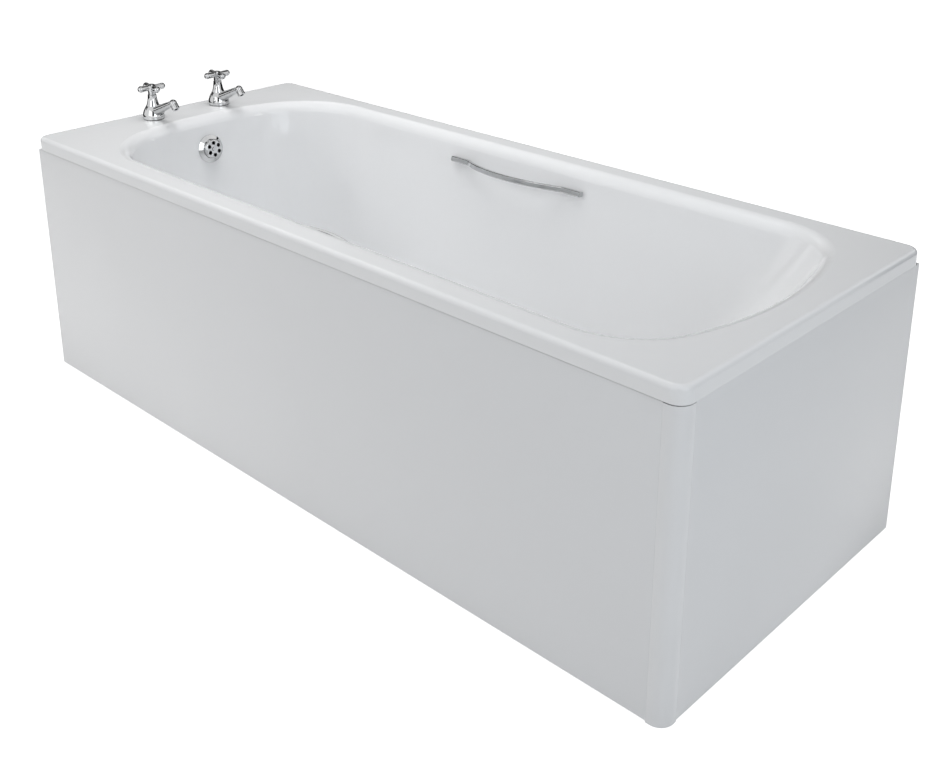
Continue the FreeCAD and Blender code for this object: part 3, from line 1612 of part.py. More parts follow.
def waste():
    waste_flange()
    seal_edge = S.waste_flange - S.waste_seal_depth
    seal = ring("upper_seal", S.waste_seal_inner, seal_edge, ZERO, S.waste_seal_depth, WASTE_SPOT)
    node(seal, "waste_seal")
    depth = S.waste_gasket_depth
    gasket = ring("lower_gasket", S.waste_hole, S.waste_body_flange, -S.sheet - depth, depth, WASTE_SPOT)
    node(gasket, "waste_gasket")
    waste_body()
    plug()


# Grips. A back grip is drawn against its wall, and the front grip is its mirror image.


def grip_bar():
    """A bow with a flat foot at each end, seen from above: the wall is at 0 and the basin at -Y."""
    half = S.grip_length / 2
    start = half - S.grip_foot_length
    back = -S.grip_seal_depth
    foot = back - S.grip_foot_depth
    rise = S.grip_bow - S.grip_seal_depth - S.grip_foot_depth
    outer = (start * start + rise * rise) / (2 * rise)
    inner_rise = rise + S.grip_foot_depth - S.grip_thickness
    inner = (start * start + inner_rise * inner_rise) / (2 * inner_rise)
    corners = [
        (-half, back),
        (-half, foot),
        (-start, foot, outer, "left"),
        (start, foot),
        (half, foot),
        (half, back),
        (start, back, inner, "right"),
        (-start, back),
    ]
    body = padded("bow", "XY_Plane", corners, S.grip_height, middle=True)
    doc.recompute()
    half_height = S.grip_height / 2
    edges = level_edges(body.Shape, half_height) + level_edges(body.Shape, -half_height)
    rounded_edges(body, "soft_edges", body.Tip, edges, S.grip_round)
    return body


def grips():
    bore = S.grip_stud_radius + S.seat_clearance
    stud_tools = []
    reach = S.grip_seal_depth + S.grip_stud_bite
    for sign in (-1, 1):
        spot = (sign * GRIP_STUD, ZERO, ZERO)
        stud_tools.append(cylinder("stud_bore", bore, reach, spot, rotation=TO_FRONT))
    back = cut("bow_cut", grip_bar(), stud_tools)
    put(back, grip_point(ZERO, ZERO), **GRIP_SQUARE)
    node(back, "back_grip")
    node(mirrored(back), "front_grip")
    seals = []
    studs = []
    nuts = []
    half_foot = S.grip_foot_length / 2 - S.grip_round
    half_height = S.grip_height / 2 - S.grip_round
    for sign in (-1, 1):
        along = sign * GRIP_STUD
        seal = padded(
            "grip_seal",
            "XZ_Plane",
            box_corners(-half_foot, half_foot, -half_height, half_height),
            S.grip_seal_depth,
            holes=[(ZERO, ZERO, bore)],
        )
        seals.append(put(seal, grip_point(along, ZERO), **GRIP_SQUARE))
        start = grip_point(along, reach)
        studs.append(cylinder("grip_stud", S.grip_stud_radius, S.grip_stud_length, start, **GRIP_OUTWARD))
        nut_spot = grip_point(along, -S.sheet - S.seat_clearance)
        nuts.append(hex_nut("grip_nut", S.grip_nut_flats, S.grip_nut_depth, bore, nut_spot, **GRIP_OUTWARD))
    grouped("grip_seals", seals + [mirrored(seal) for seal in seals])
    grouped("grip_studs", studs + [mirrored(stud) for stud in studs])
    grouped("grip_nuts", nuts + [mirrored(nut) for nut in nuts])


# The whole bath


def check_document():
    """Stops before anything is written if an object or a shape is wrong."""
    for item in doc.Objects:
        if "Invalid" in item.State or "Error" in item.State:
            raise RuntimeError(f"{item.Name} did not build: {item.State}")
    for item in NODES:
        if item.Shape.isNull() or not item.Shape.isValid() or not item.Shape.Solids:
            raise RuntimeError(f"{item.Label} has no valid solid")


def write_parts():
    """Writes each piece to its own file."""
    os.makedirs("parts", exist_ok=True)
    for item in NODES:
        item.Shape.exportStep(os.path.join("parts", f"{item.Label}.step"))
        print(item.Label, len(item.Shape.Solids), round(item.Shape.Volume))


steel_outside = pressing()
bath_shell(steel_outside)
legs()
sound_pads()
earth_tag()
panels()
taps()
overflow(steel_outside)
waste()
grips()
doc.recompute()
check_document()
write_parts()
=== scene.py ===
"""Looks of the steel bath: finishes, drawn pieces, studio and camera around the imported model."""

import logging
from collections.abc import Iterable, Mapping
from dataclasses import dataclass, field
from enum import Enum, IntEnum
from math import pi

import bmesh
import bpy
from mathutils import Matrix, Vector


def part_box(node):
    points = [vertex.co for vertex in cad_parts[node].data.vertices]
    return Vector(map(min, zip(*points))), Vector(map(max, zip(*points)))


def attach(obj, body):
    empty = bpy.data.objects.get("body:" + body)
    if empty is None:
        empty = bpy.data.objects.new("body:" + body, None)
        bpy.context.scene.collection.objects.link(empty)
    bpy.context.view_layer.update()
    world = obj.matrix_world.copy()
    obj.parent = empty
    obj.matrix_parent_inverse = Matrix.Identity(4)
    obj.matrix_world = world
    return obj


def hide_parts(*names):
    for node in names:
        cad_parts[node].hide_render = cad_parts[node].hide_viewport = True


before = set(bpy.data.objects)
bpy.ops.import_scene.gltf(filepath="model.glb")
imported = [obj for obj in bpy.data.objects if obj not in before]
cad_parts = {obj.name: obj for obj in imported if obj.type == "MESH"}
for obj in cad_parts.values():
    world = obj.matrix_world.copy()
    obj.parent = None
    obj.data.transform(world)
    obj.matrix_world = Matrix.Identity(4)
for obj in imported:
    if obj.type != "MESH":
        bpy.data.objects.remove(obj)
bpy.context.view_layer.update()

LOG = logging.getLogger("steel_bath")
IMAGE_WIDTH = 946
SENSOR_WIDTH = 36.0

Colour = tuple[float, float, float]
Point = tuple[float, float, float]
WHITE: Colour = (1.0, 1.0, 1.0)


class Part(Enum):
    """The bodies of the bath that a drawn piece can ride on."""

    BATH = "bath"


class Slot(Enum):
    """The record's material slots that drawn pieces take."""

    BOARD = "panel_board"


class BoardFace(IntEnum):
    """The material numbers of a board's faces."""

    FRONT = 0
    EDGE = 1
    BACK = 2


class Effect(Enum):
    """The surface effects that several finishes share as shader node groups."""

    TONE = "tone_drift"
    GLOSS = "wiped_gloss"
    RIPPLE = "skin_ripple"
    DUST = "settled_dust"
    SPECKS = "fine_specks"
    THREAD = "screw_thread"


# Node trees


class Wiring:
    """Adds nodes to one node tree and joins them.

    A Mix node has sockets of the same name for each kind of data, so its colour sockets go by number.
    """

    MIX_FIRST = 6
    MIX_SECOND = 7
    MIX_RESULT = 2

    def __init__(self, tree: bpy.types.NodeTree) -> None:
        """Keeps the tree that the nodes go into.

        Args:
            tree: The node tree.
        """
        self.tree = tree

    def node(
        self, kind: str, inputs: Mapping[str | int, object] | None = None, **settings: object
    ) -> bpy.types.Node:
        """Adds a node, sets it up and feeds its inputs.

        Args:
            kind: The node's Blender type.
            inputs: Sockets or plain values by input name or number.
            settings: Properties of the node.

        Returns:
            The new node.
        """
        made = self.tree.nodes.new(kind)
        for name, value in settings.items():
            setattr(made, name, value)
        for name, value in (inputs or {}).items():
            self.feed(made.inputs[name], value)
        return made

    def feed(self, socket: bpy.types.NodeSocket, value: object) -> None:
        """Joins a socket to another one, or sets its plain value.

        Args:
            socket: The input to feed.
            value: An output socket, a number or a colour.
        """
        if isinstance(value, bpy.types.NodeSocket):
            self.tree.links.new(value, socket)
        elif socket.type == "RGBA" and isinstance(value, tuple) and len(value) == 3:
            socket.default_value = (*value, 1.0)
        else:
            socket.default_value = value

    def math(
        self, operation: str, first: object, second: object = 0.0, clamp: bool = False
    ) -> bpy.types.NodeSocket:
        """Adds a Math node.

        Args:
            operation: The operation's Blender name.
            first: The first value.
            second: The second value.
            clamp: Whether the result stays between 0 and 1.

        Returns:
            The result's socket.
        """
        inputs = {0: first, 1: second}
        return self.node("ShaderNodeMath", inputs, operation=operation, use_clamp=clamp).outputs[0]

    def vector(self, operation: str, first: object, second: object = (0.0, 0.0, 0.0)) -> bpy.types.Node:
        """Adds a Vector Math node.

        Args:
            operation: The operation's Blender name.
            first: The first vector.
            second: The second vector.

        Returns:
            The node, with a Vector output and a Value output.
        """
        return self.node("ShaderNodeVectorMath", {0: first, 1: second}, operation=operation)

    def mix(self, factor: object, first: object, second: object) -> bpy.types.NodeSocket:
        """Mixes two colours.

        Args:
            factor: 0 gives the first colour and 1 the second.
            first: The first colour.
            second: The second colour.

        Returns:
            The mixed colour's socket.
        """
        made = self.node("ShaderNodeMix", data_type="RGBA")
        self.feed(made.inputs["Factor"], factor)
        self.feed(made.inputs[self.MIX_FIRST], first)
        self.feed(made.inputs[self.MIX_SECOND], second)
        return made.outputs[self.MIX_RESULT]

    def span(
        self, value: object, low: float, high: float, start: object = 0.0, end: object = 1.0
    ) -> bpy.types.NodeSocket:
        """Maps a range of values onto another range, held at its ends.

        Args:
            value: The value to map.
            low: The value that maps to start.
            high: The value that maps to end.
            start: The first result.
            end: The last result.

        Returns:
            The mapped value's socket.
        """
        inputs = {"Value": value, "From Min": low, "From Max": high, "To Min": start, "To Max": end}
        return self.node("ShaderNodeMapRange", inputs).outputs["Result"]

    def place(self) -> bpy.types.NodeSocket:
        """Gives the place on the piece, in metres in the piece's own frame.

        Returns:
            The place's socket.
        """
        return self.node("ShaderNodeTexCoord").outputs["Object"]

    def noise(self, scale: object, detail: float = 3.0, place: object = None) -> bpy.types.NodeSocket:
        """Adds a noise over the piece.

        Args:
            scale: Noise cells in each metre.
            detail: How many finer layers it has.
            place: Where it is read, or None for the place on the piece.

        Returns:
            The noise value's socket.
        """
        where = self.place() if place is None else place
        inputs = {"Vector": where, "Scale": scale, "Detail": detail}
        return self.node("ShaderNodeTexNoise", inputs).outputs[0]


def fresh_wiring(owner: bpy.types.Material | bpy.types.World) -> Wiring:
    """Empties the node tree of a material or world.

    Args:
        owner: The material or world.

    Returns:
        Wiring for its empty tree.
    """
    owner.use_nodes = True
    owner.node_tree.nodes.clear()
    return Wiring(owner.node_tree)


class EffectGroups:
    """Builds each shared effect once, as a shader node group.

    A FADE is the range of a noise, or of a slope, over which an effect comes in. A DETAIL is how many finer
    layers a noise has.
    """

    TONE_DETAIL = 4.0
    TONE_FADE = (0.3, 0.7)
    GLOSS_DETAIL = 5.0
    GLOSS_FADE = (0.35, 0.75)
    GLOSS_STRETCH = (1.0, 0.45, 0.7)
    LONG_DETAIL = 1.0
    SHORT_DETAIL = 2.0
    SHORT_RATIO = 7.0
    DUST_DETAIL = 5.0
    DUST_FADE = (0.35, 0.7)
    SLOPE_FADE = (0.2, 0.95)
    RIDGE_SHARE = 0.5

    def __init__(self) -> None:
        """Starts with no group built."""
        self.built: dict[Effect, bpy.types.NodeTree] = {}

    def get(self, effect: Effect) -> bpy.types.NodeTree:
        """Gives an effect's group, built at its first use.

        Args:
            effect: The effect wanted.

        Returns:
            Its node group.
        """
        if effect not in self.built:
            maker = getattr(self, f"make_{effect.value}")
            self.built[effect] = maker()
        return self.built[effect]

    def start(
        self, effect: Effect, inputs: Mapping[str, float | Colour], output: str, colour: bool = False
    ) -> tuple[Wiring, Mapping[str, bpy.types.NodeSocket], bpy.types.NodeSocket]:
        """Makes an empty group with named sockets.

        Args:
            effect: The effect that names the group.
            inputs: Each input's name and first value.
            output: The output's name.
            colour: Whether the output is a colour.

        Returns:
            The group's wiring, its inputs by name and the socket that takes the result.
        """
        tree = bpy.data.node_groups.new(effect.value, "ShaderNodeTree")
        for name, value in inputs.items():
            kind = "NodeSocketColor" if isinstance(value, tuple) else "NodeSocketFloat"
            made = tree.interface.new_socket(name, in_out="INPUT", socket_type=kind)
            made.default_value = (*value, 1.0) if isinstance(value, tuple) else value
        kind = "NodeSocketColor" if colour else "NodeSocketFloat"
        tree.interface.new_socket(output, in_out="OUTPUT", socket_type=kind)
        wiring = Wiring(tree)
        source = wiring.node("NodeGroupInput")
        sink = wiring.node("NodeGroupOutput")
        return wiring, source.outputs, sink.inputs[0]

    def make_tone_drift(self) -> bpy.types.NodeTree:
        """Builds a slow drift between two tones of one colour.

        Returns:
            The group.
        """
        inputs = {"Light": (0.8, 0.8, 0.8), "Dark": (0.7, 0.7, 0.7), "Scale": 6.0}
        wiring, given, result = self.start(Effect.TONE, inputs, "Colour", colour=True)
        cloud = wiring.noise(given["Scale"], self.TONE_DETAIL)
        share = wiring.span(cloud, *self.TONE_FADE)
        wiring.feed(result, wiring.mix(share, given["Light"], given["Dark"]))
        return wiring.tree

    def make_wiped_gloss(self) -> bpy.types.NodeTree:
        """Builds a gloss that changes in faint wiped patches.

        Returns:
            The group.
        """
        inputs = {"Smooth": 0.1, "Dull": 0.2, "Scale": 9.0}
        wiring, given, result = self.start(Effect.GLOSS, inputs, "Roughness")
        stretched = wiring.vector("MULTIPLY", wiring.place(), self.GLOSS_STRETCH).outputs["Vector"]
        patch = wiring.noise(given["Scale"], self.GLOSS_DETAIL, stretched)
        wiring.feed(result, wiring.span(patch, *self.GLOSS_FADE, given["Smooth"], given["Dull"]))
        return wiring.tree

    def make_skin_ripple(self) -> bpy.types.NodeTree:
        """Builds a low skin relief: a long ripple with a finer one on it.

        Returns:
            The group.
        """
        wiring, given, result = self.start(Effect.RIPPLE, {"Scale": 60.0, "Fine": 0.3}, "Height")
        long_wave = wiring.noise(given["Scale"], self.LONG_DETAIL)
        short_scale = wiring.math("MULTIPLY", given["Scale"], self.SHORT_RATIO)
        short_wave = wiring.noise(short_scale, self.SHORT_DETAIL)
        fine = wiring.math("MULTIPLY", short_wave, given["Fine"])
        wiring.feed(result, wiring.math("ADD", long_wave, fine))
        return wiring.tree

    def make_settled_dust(self) -> bpy.types.NodeTree:
        """Builds a mask of dust that lies on faces that look up.

        Returns:
            The group.
        """
        wiring, given, result = self.start(Effect.DUST, {"Amount": 0.5, "Scale": 40.0}, "Mask")
        normal = wiring.node("ShaderNodeNewGeometry").outputs["Normal"]
        upward = wiring.node("ShaderNodeSeparateXYZ", {0: normal}).outputs["Z"]
        lying = wiring.span(upward, *self.SLOPE_FADE)
        cloud = wiring.span(wiring.noise(given["Scale"], self.DUST_DETAIL), *self.DUST_FADE)
        settled = wiring.math("MULTIPLY", lying, cloud)
        wiring.feed(result, wiring.math("MULTIPLY", settled, given["Amount"], clamp=True))
        return wiring.tree

    def make_fine_specks(self) -> bpy.types.NodeTree:
        """Builds a mask of scattered specks.

        Returns:
            The group.
        """
        wiring, given, result = self.start(Effect.SPECKS, {"Scale": 400.0, "Size": 0.3}, "Mask")
        cells = wiring.node("ShaderNodeTexVoronoi", {"Vector": wiring.place(), "Scale": given["Scale"]})
        near = wiring.math("LESS_THAN", cells.outputs["Distance"], given["Size"])
        chosen = wiring.node("ShaderNodeSeparateColor", {0: cells.outputs["Color"]}).outputs[0]
        wiring.feed(result, wiring.math("MULTIPLY", near, chosen))
        return wiring.tree

    def make_screw_thread(self) -> bpy.types.NodeTree:
        """Builds the relief of level thread ridges between two heights.

        Returns:
            The group.
        """
        inputs = {"Pitch": 0.0018, "Low": 0.0, "High": 1.0}
        wiring, given, result = self.start(Effect.THREAD, inputs, "Height")
        level = wiring.node("ShaderNodeSeparateXYZ", {0: wiring.place()}).outputs["Z"]
        wave = wiring.math("PINGPONG", level, wiring.math("MULTIPLY", given["Pitch"], self.RIDGE_SHARE))
        ridge = wiring.math("DIVIDE", wave, given["Pitch"])
        above = wiring.math("GREATER_THAN", level, given["Low"])
        below = wiring.math("LESS_THAN", level, given["High"])
        inside = wiring.math("MULTIPLY", above, below)
        wiring.feed(result, wiring.math("MULTIPLY", ridge, inside))
        return wiring.tree


GROUPS = EffectGroups()


# Finishes


@dataclass(frozen=True)
class Finish:
    """A painted, moulded or plated surface with drifting tone, wiped gloss and a low relief."""

    name: str
    light: Colour
    dark: Colour
    tone_scale: float = 5.0
    smooth: float = 0.15
    dull: float = 0.25
    gloss_scale: float = 9.0
    relief: float = 0.0
    relief_scale: float = 60.0
    relief_fine: float = 0.3
    metallic: float = 0.0
    coat: float = 0.0
    coat_rough: float = 0.03
    dust: float = 0.0
    dust_scale: float = 40.0
    dust_tone: Colour = (0.42, 0.41, 0.39)
    speck_tone: Colour | None = None
    speck_scale: float = 900.0
    speck_size: float = 0.25

    def effect(self, wiring: Wiring, effect: Effect, values: Mapping[str, object]) -> bpy.types.NodeSocket:
        """Places a shared effect in the material with its own values.

        Args:
            wiring: The material's wiring.
            effect: The effect to place.
            values: The group's inputs.

        Returns:
            The effect's output socket.
        """
        made = wiring.node("ShaderNodeGroup", node_tree=GROUPS.get(effect))
        for name, value in values.items():
            wiring.feed(made.inputs[name], value)
        return made.outputs[0]

    def colour(self, wiring: Wiring) -> bpy.types.NodeSocket:
        """Wires the colour: drifting tone, specks and dust.

        Args:
            wiring: The material's wiring.

        Returns:
            The colour's socket.
        """
        values = {"Light": self.light, "Dark": self.dark, "Scale": self.tone_scale}
        tone = self.effect(wiring, Effect.TONE, values)
        if self.speck_tone is not None:
            mask = self.effect(wiring, Effect.SPECKS, {"Scale": self.speck_scale, "Size": self.speck_size})
            tone = wiring.mix(mask, tone, self.speck_tone)
        if self.dust > 0.0:
            mask = self.effect(wiring, Effect.DUST, {"Amount": self.dust, "Scale": self.dust_scale})
            tone = wiring.mix(mask, tone, self.dust_tone)
        return tone

    def roughness(self, wiring: Wiring) -> bpy.types.NodeSocket:
        """Wires the gloss.

        Args:
            wiring: The material's wiring.

        Returns:
            The roughness's socket.
        """
        values = {"Smooth": self.smooth, "Dull": self.dull, "Scale": self.gloss_scale}
        return self.effect(wiring, Effect.GLOSS, values)

    def height(self, wiring: Wiring) -> bpy.types.NodeSocket:
        """Wires the relief.

        Args:
            wiring: The material's wiring.

        Returns:
            The height's socket.
        """
        return self.effect(wiring, Effect.RIPPLE, {"Scale": self.relief_scale, "Fine": self.relief_fine})

    def build(self) -> bpy.types.Material:
        """Builds the material.

        Returns:
            The material with its nodes.
        """
        material = bpy.data.materials.new(self.name)
        wiring = fresh_wiring(material)
        shader = wiring.node("ShaderNodeBsdfPrincipled")
        wiring.feed(shader.inputs["Base Color"], self.colour(wiring))
        wiring.feed(shader.inputs["Roughness"], self.roughness(wiring))
        shader.inputs["Metallic"].default_value = self.metallic
        shader.inputs["Coat Weight"].default_value = self.coat
        shader.inputs["Coat Roughness"].default_value = self.coat_rough
        if self.relief > 0.0:
            bump = wiring.node("ShaderNodeBump", {"Strength": 1.0, "Distance": self.relief})
            wiring.feed(bump.inputs["Height"], self.height(wiring))
            wiring.feed(shader.inputs["Normal"], bump.outputs["Normal"])
        sink = wiring.node("ShaderNodeOutputMaterial")
        wiring.feed(sink.inputs["Surface"], shader.outputs[0])
        return material


@dataclass(frozen=True)
class ShellEnamel(Finish):
    """White enamel where the pressing is seen, and a grey ground coat on its hidden side.

    White are the faces that look towards a point over the basin, those of the deck that look up, and those
    that lie further out than the inside of the lip.
    """

    ground: Colour = (0.16, 0.175, 0.19)
    ground_speck: Colour = (0.30, 0.32, 0.34)
    ground_speck_scale: float = 520.0
    ground_speck_size: float = 0.42
    ground_rough: float = 0.42
    over_basin: Point = (-0.05, 0.0, 0.75)
    lip_core: Point = (0.825, 0.325, 1.0)
    lip_reach: float = 0.0237
    deck_low: float = 0.5
    upward: float = 0.05

    def seen_side(self, wiring: Wiring) -> bpy.types.NodeSocket:
        """Wires a mask of the white side: basin, deck, rolled edge and lip.

        Args:
            wiring: The material's wiring.

        Returns:
            A mask, 1 on the white side.
        """
        place = wiring.place()
        spot = wiring.node("ShaderNodeSeparateXYZ", {0: place}).outputs
        normal = wiring.node("ShaderNodeTexCoord").outputs["Normal"]
        upward = wiring.node("ShaderNodeSeparateXYZ", {0: normal}).outputs["Z"]
        inward = wiring.vector("SUBTRACT", self.over_basin, place).outputs["Vector"]
        facing = wiring.vector("DOT_PRODUCT", inward, normal).outputs["Value"]
        basin = wiring.math("GREATER_THAN", facing, 0.0)
        high = wiring.math("GREATER_THAN", spot["Z"], self.deck_low)
        rolled = wiring.math("MULTIPLY", high, wiring.math("GREATER_THAN", upward, self.upward))
        reach = wiring.vector("ABSOLUTE", place).outputs["Vector"]
        past = wiring.vector("SUBTRACT", reach, self.lip_core).outputs["Vector"]
        outer = wiring.vector("MAXIMUM", past).outputs["Vector"]
        distance = wiring.vector("LENGTH", outer).outputs["Value"]
        lip = wiring.math("GREATER_THAN", distance, self.lip_reach)
        return wiring.math("MAXIMUM", wiring.math("MAXIMUM", basin, rolled), lip)

    def colour(self, wiring: Wiring) -> bpy.types.NodeSocket:
        """Wires white on the seen side and speckled grey on the other.

        Args:
            wiring: The material's wiring.

        Returns:
            The colour's socket.
        """
        white = super().colour(wiring)
        values = {"Scale": self.ground_speck_scale, "Size": self.ground_speck_size}
        specks = self.effect(wiring, Effect.SPECKS, values)
        grey = wiring.mix(specks, self.ground, self.ground_speck)
        return wiring.mix(self.seen_side(wiring), grey, white)

    def roughness(self, wiring: Wiring) -> bpy.types.NodeSocket:
        """Wires the gloss of both sides.

        Args:
            wiring: The material's wiring.

        Returns:
            The roughness's socket.
        """
        white = super().roughness(wiring)
        return wiring.span(self.seen_side(wiring), 0.0, 1.0, self.ground_rough, white)


@dataclass(frozen=True)
class ThreadedFinish(Finish):
    """A finish with thread ridges between two heights."""

    pitch: float = 0.0018
    thread_low: float = 0.0
    thread_high: float = 1.0
    thread_share: float = 8.0

    def height(self, wiring: Wiring) -> bpy.types.NodeSocket:
        """Wires the thread over the low relief.

        Args:
            wiring: The material's wiring.

        Returns:
            The height's socket.
        """
        values = {"Pitch": self.pitch, "Low": self.thread_low, "High": self.thread_high}
        thread = self.effect(wiring, Effect.THREAD, values)
        return wiring.math("ADD", super().height(wiring), wiring.math("MULTIPLY", thread, self.thread_share))


PANEL_LIGHT: Colour = (0.80, 0.805, 0.815)
PANEL_DARK: Colour = (0.785, 0.79, 0.80)
CHROME_LIGHT: Colour = (0.62, 0.625, 0.63)
CHROME_DARK: Colour = (0.54, 0.545, 0.55)
UNDER_DECK = 0.546

ENAMEL = ShellEnamel(
    "white_enamel", (0.86, 0.865, 0.873), (0.845, 0.85, 0.858), tone_scale=2.0, smooth=0.05, dull=0.10,
    gloss_scale=6.0, relief=0.00006, relief_scale=45.0, relief_fine=0.08,
)
LACQUER = Finish(
    "white_lacquer", PANEL_LIGHT, PANEL_DARK, tone_scale=1.5, smooth=0.285, dull=0.36,
    gloss_scale=4.0, relief=0.00004, relief_scale=120.0, relief_fine=0.2, coat=0.04, coat_rough=0.12,
)
EDGE_TAPE = Finish(
    "white_edge_tape", (0.73, 0.735, 0.74), (0.70, 0.705, 0.71), tone_scale=14.0, smooth=0.28, dull=0.38,
    relief=0.00005, relief_scale=300.0,
)
RAW_BOARD = Finish(
    "raw_fibre_board", (0.36, 0.25, 0.155), (0.29, 0.19, 0.11), tone_scale=9.0, smooth=0.7, dull=0.85,
    relief=0.00012, relief_scale=420.0, relief_fine=0.6, speck_tone=(0.17, 0.11, 0.065), speck_scale=700.0,
    speck_size=0.22, dust=0.25,
)
POST = Finish(
    "white_post", PANEL_LIGHT, PANEL_DARK, tone_scale=6.0, smooth=0.2, dull=0.265,
    relief=0.00003, relief_scale=240.0, coat=0.15, coat_rough=0.08,
)
CHROME = Finish(
    "bright_chrome", CHROME_LIGHT, CHROME_DARK, tone_scale=30.0, smooth=0.03, dull=0.075,
    gloss_scale=40.0, relief=0.00001, relief_scale=90.0, metallic=1.0,
)
TAP_CHROME = ThreadedFinish(
    "tap_chrome", CHROME_LIGHT, CHROME_DARK, tone_scale=30.0, smooth=0.03, dull=0.075,
    gloss_scale=40.0, relief=0.0001, relief_scale=60.0, relief_fine=0.02, metallic=1.0,
    thread_high=UNDER_DECK,
)
BRASS = ThreadedFinish(
    "brass", (0.66, 0.47, 0.22), (0.52, 0.35, 0.15), tone_scale=60.0, smooth=0.285, dull=0.38,
    gloss_scale=60.0, relief=0.0001, relief_scale=200.0, metallic=1.0, thread_high=UNDER_DECK,
)
ZINC = Finish(
    "zinc_plate", (0.62, 0.63, 0.63), (0.47, 0.48, 0.46), tone_scale=45.0, smooth=0.28, dull=0.46,
    gloss_scale=55.0, relief=0.00006, relief_scale=500.0, relief_fine=0.6, metallic=1.0, dust=0.35,
    speck_tone=(0.72, 0.73, 0.72), speck_scale=1400.0, speck_size=0.35,
)
THREADED_ZINC = ThreadedFinish(
    "threaded_zinc", (0.60, 0.61, 0.61), (0.45, 0.46, 0.44), tone_scale=60.0, smooth=0.28, dull=0.46,
    gloss_scale=55.0, relief=0.0002, relief_scale=500.0, relief_fine=0.1, metallic=1.0, pitch=0.00175,
)
RUBBER = Finish(
    "black_rubber", (0.022, 0.022, 0.023), (0.034, 0.033, 0.032), tone_scale=80.0, smooth=0.6, dull=0.78,
    relief=0.0001, relief_scale=600.0, relief_fine=0.5, dust=0.3,
)
DEADENING = Finish(
    "deadening_mat", (0.055, 0.05, 0.046), (0.034, 0.031, 0.029), tone_scale=40.0, smooth=0.55, dull=0.75,
    relief=0.0005, relief_scale=260.0, relief_fine=0.5, speck_tone=(0.12, 0.115, 0.105), speck_scale=600.0,
)
WHITE_PLASTIC = Finish(
    "white_plastic", (0.72, 0.72, 0.71), (0.66, 0.66, 0.64), tone_scale=30.0, smooth=0.3, dull=0.42,
    relief=0.00005, relief_scale=500.0, dust=0.2,
)
BLACK_PLASTIC = Finish(
    "black_plastic", (0.032, 0.033, 0.035), (0.045, 0.045, 0.047), tone_scale=50.0, smooth=0.35, dull=0.5,
    relief=0.00008, relief_scale=700.0, relief_fine=0.5, dust=0.35,
)


class FinishShelf:
    """Builds each finish once and puts it on CAD nodes and drawn pieces."""

    def __init__(self) -> None:
        """Starts with no material built."""
        self.built: dict[str, bpy.types.Material] = {}

    def get(self, finish: Finish) -> bpy.types.Material:
        """Gives a finish's material, built at its first use.

        Args:
            finish: The finish wanted.

        Returns:
            Its material.
        """
        if finish.name not in self.built:
            self.built[finish.name] = finish.build()
        return self.built[finish.name]

    def dress(self, finish: Finish, nodes: Iterable[str]) -> None:
        """Puts a finish on CAD nodes.

        Args:
            finish: The finish to use.
            nodes: The nodes' names.
        """
        for name in nodes:
            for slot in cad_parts[name].material_slots:
                slot.material = self.get(finish)
            LOG.info("dressed %s in %s", name, finish.name)


SHELF = FinishShelf()


# Drawn pieces


def add_piece(mesh: bpy.types.Mesh, finishes: Iterable[Finish], replaced: str) -> None:
    """Puts a mesh in the scene as a piece that rides on the bath.

    Args:
        mesh: The piece's mesh, named for the piece.
        finishes: Its finishes, in the order of its faces' material numbers.
        replaced: The CAD node that it stands for.
    """
    piece = bpy.data.objects.new(mesh.name, mesh)
    bpy.context.scene.collection.objects.link(piece)
    for finish in finishes:
        mesh.materials.append(SHELF.get(finish))
    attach(piece, Part.BATH.value)
    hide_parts(replaced)
    LOG.info("drew %s with %d faces", piece.name, len(mesh.polygons))


def mesh_from(shape: bmesh.types.BMesh, name: str, smooth: bool = True) -> bpy.types.Mesh:
    """Turns a bmesh into a mesh and frees it.

    Args:
        shape: The bmesh.
        name: The mesh's name.
        smooth: Whether its faces are shaded smooth.

    Returns:
        The mesh.
    """
    for face in shape.faces:
        face.smooth = smooth
    mesh = bpy.data.meshes.new(name)
    shape.to_mesh(mesh)
    shape.free()
    return mesh


@dataclass
class Shell:
    """The pressed steel bath itself."""

    nodes: tuple[str, ...] = ("bath_shell",)

    def build(self) -> None:
        """Dresses the pressing."""
        SHELF.dress(ENAMEL, self.nodes)


@dataclass
class Legs:
    """Rails, studs, nuts and feet under the floor, with the sound pads and earth tag."""

    zinc: tuple[str, ...] = ("leg_rail_tap_end", "leg_rail_head_end", "rail_nuts", "foot_nuts", "earth_tag")
    threaded: tuple[str, ...] = ("rail_studs", "foot_studs")
    rubber: tuple[str, ...] = ("rail_pads",)
    black: tuple[str, ...] = ("foot_pads",)
    mats: tuple[str, ...] = ("sound_pads",)

    def build(self) -> None:
        """Dresses the legs and what is stuck or welded under the pressing."""
        SHELF.dress(ZINC, self.zinc)
        SHELF.dress(THREADED_ZINC, self.threaded)
        SHELF.dress(RUBBER, self.rubber)
        SHELF.dress(BLACK_PLASTIC, self.black)
        SHELF.dress(DEADENING, self.mats)


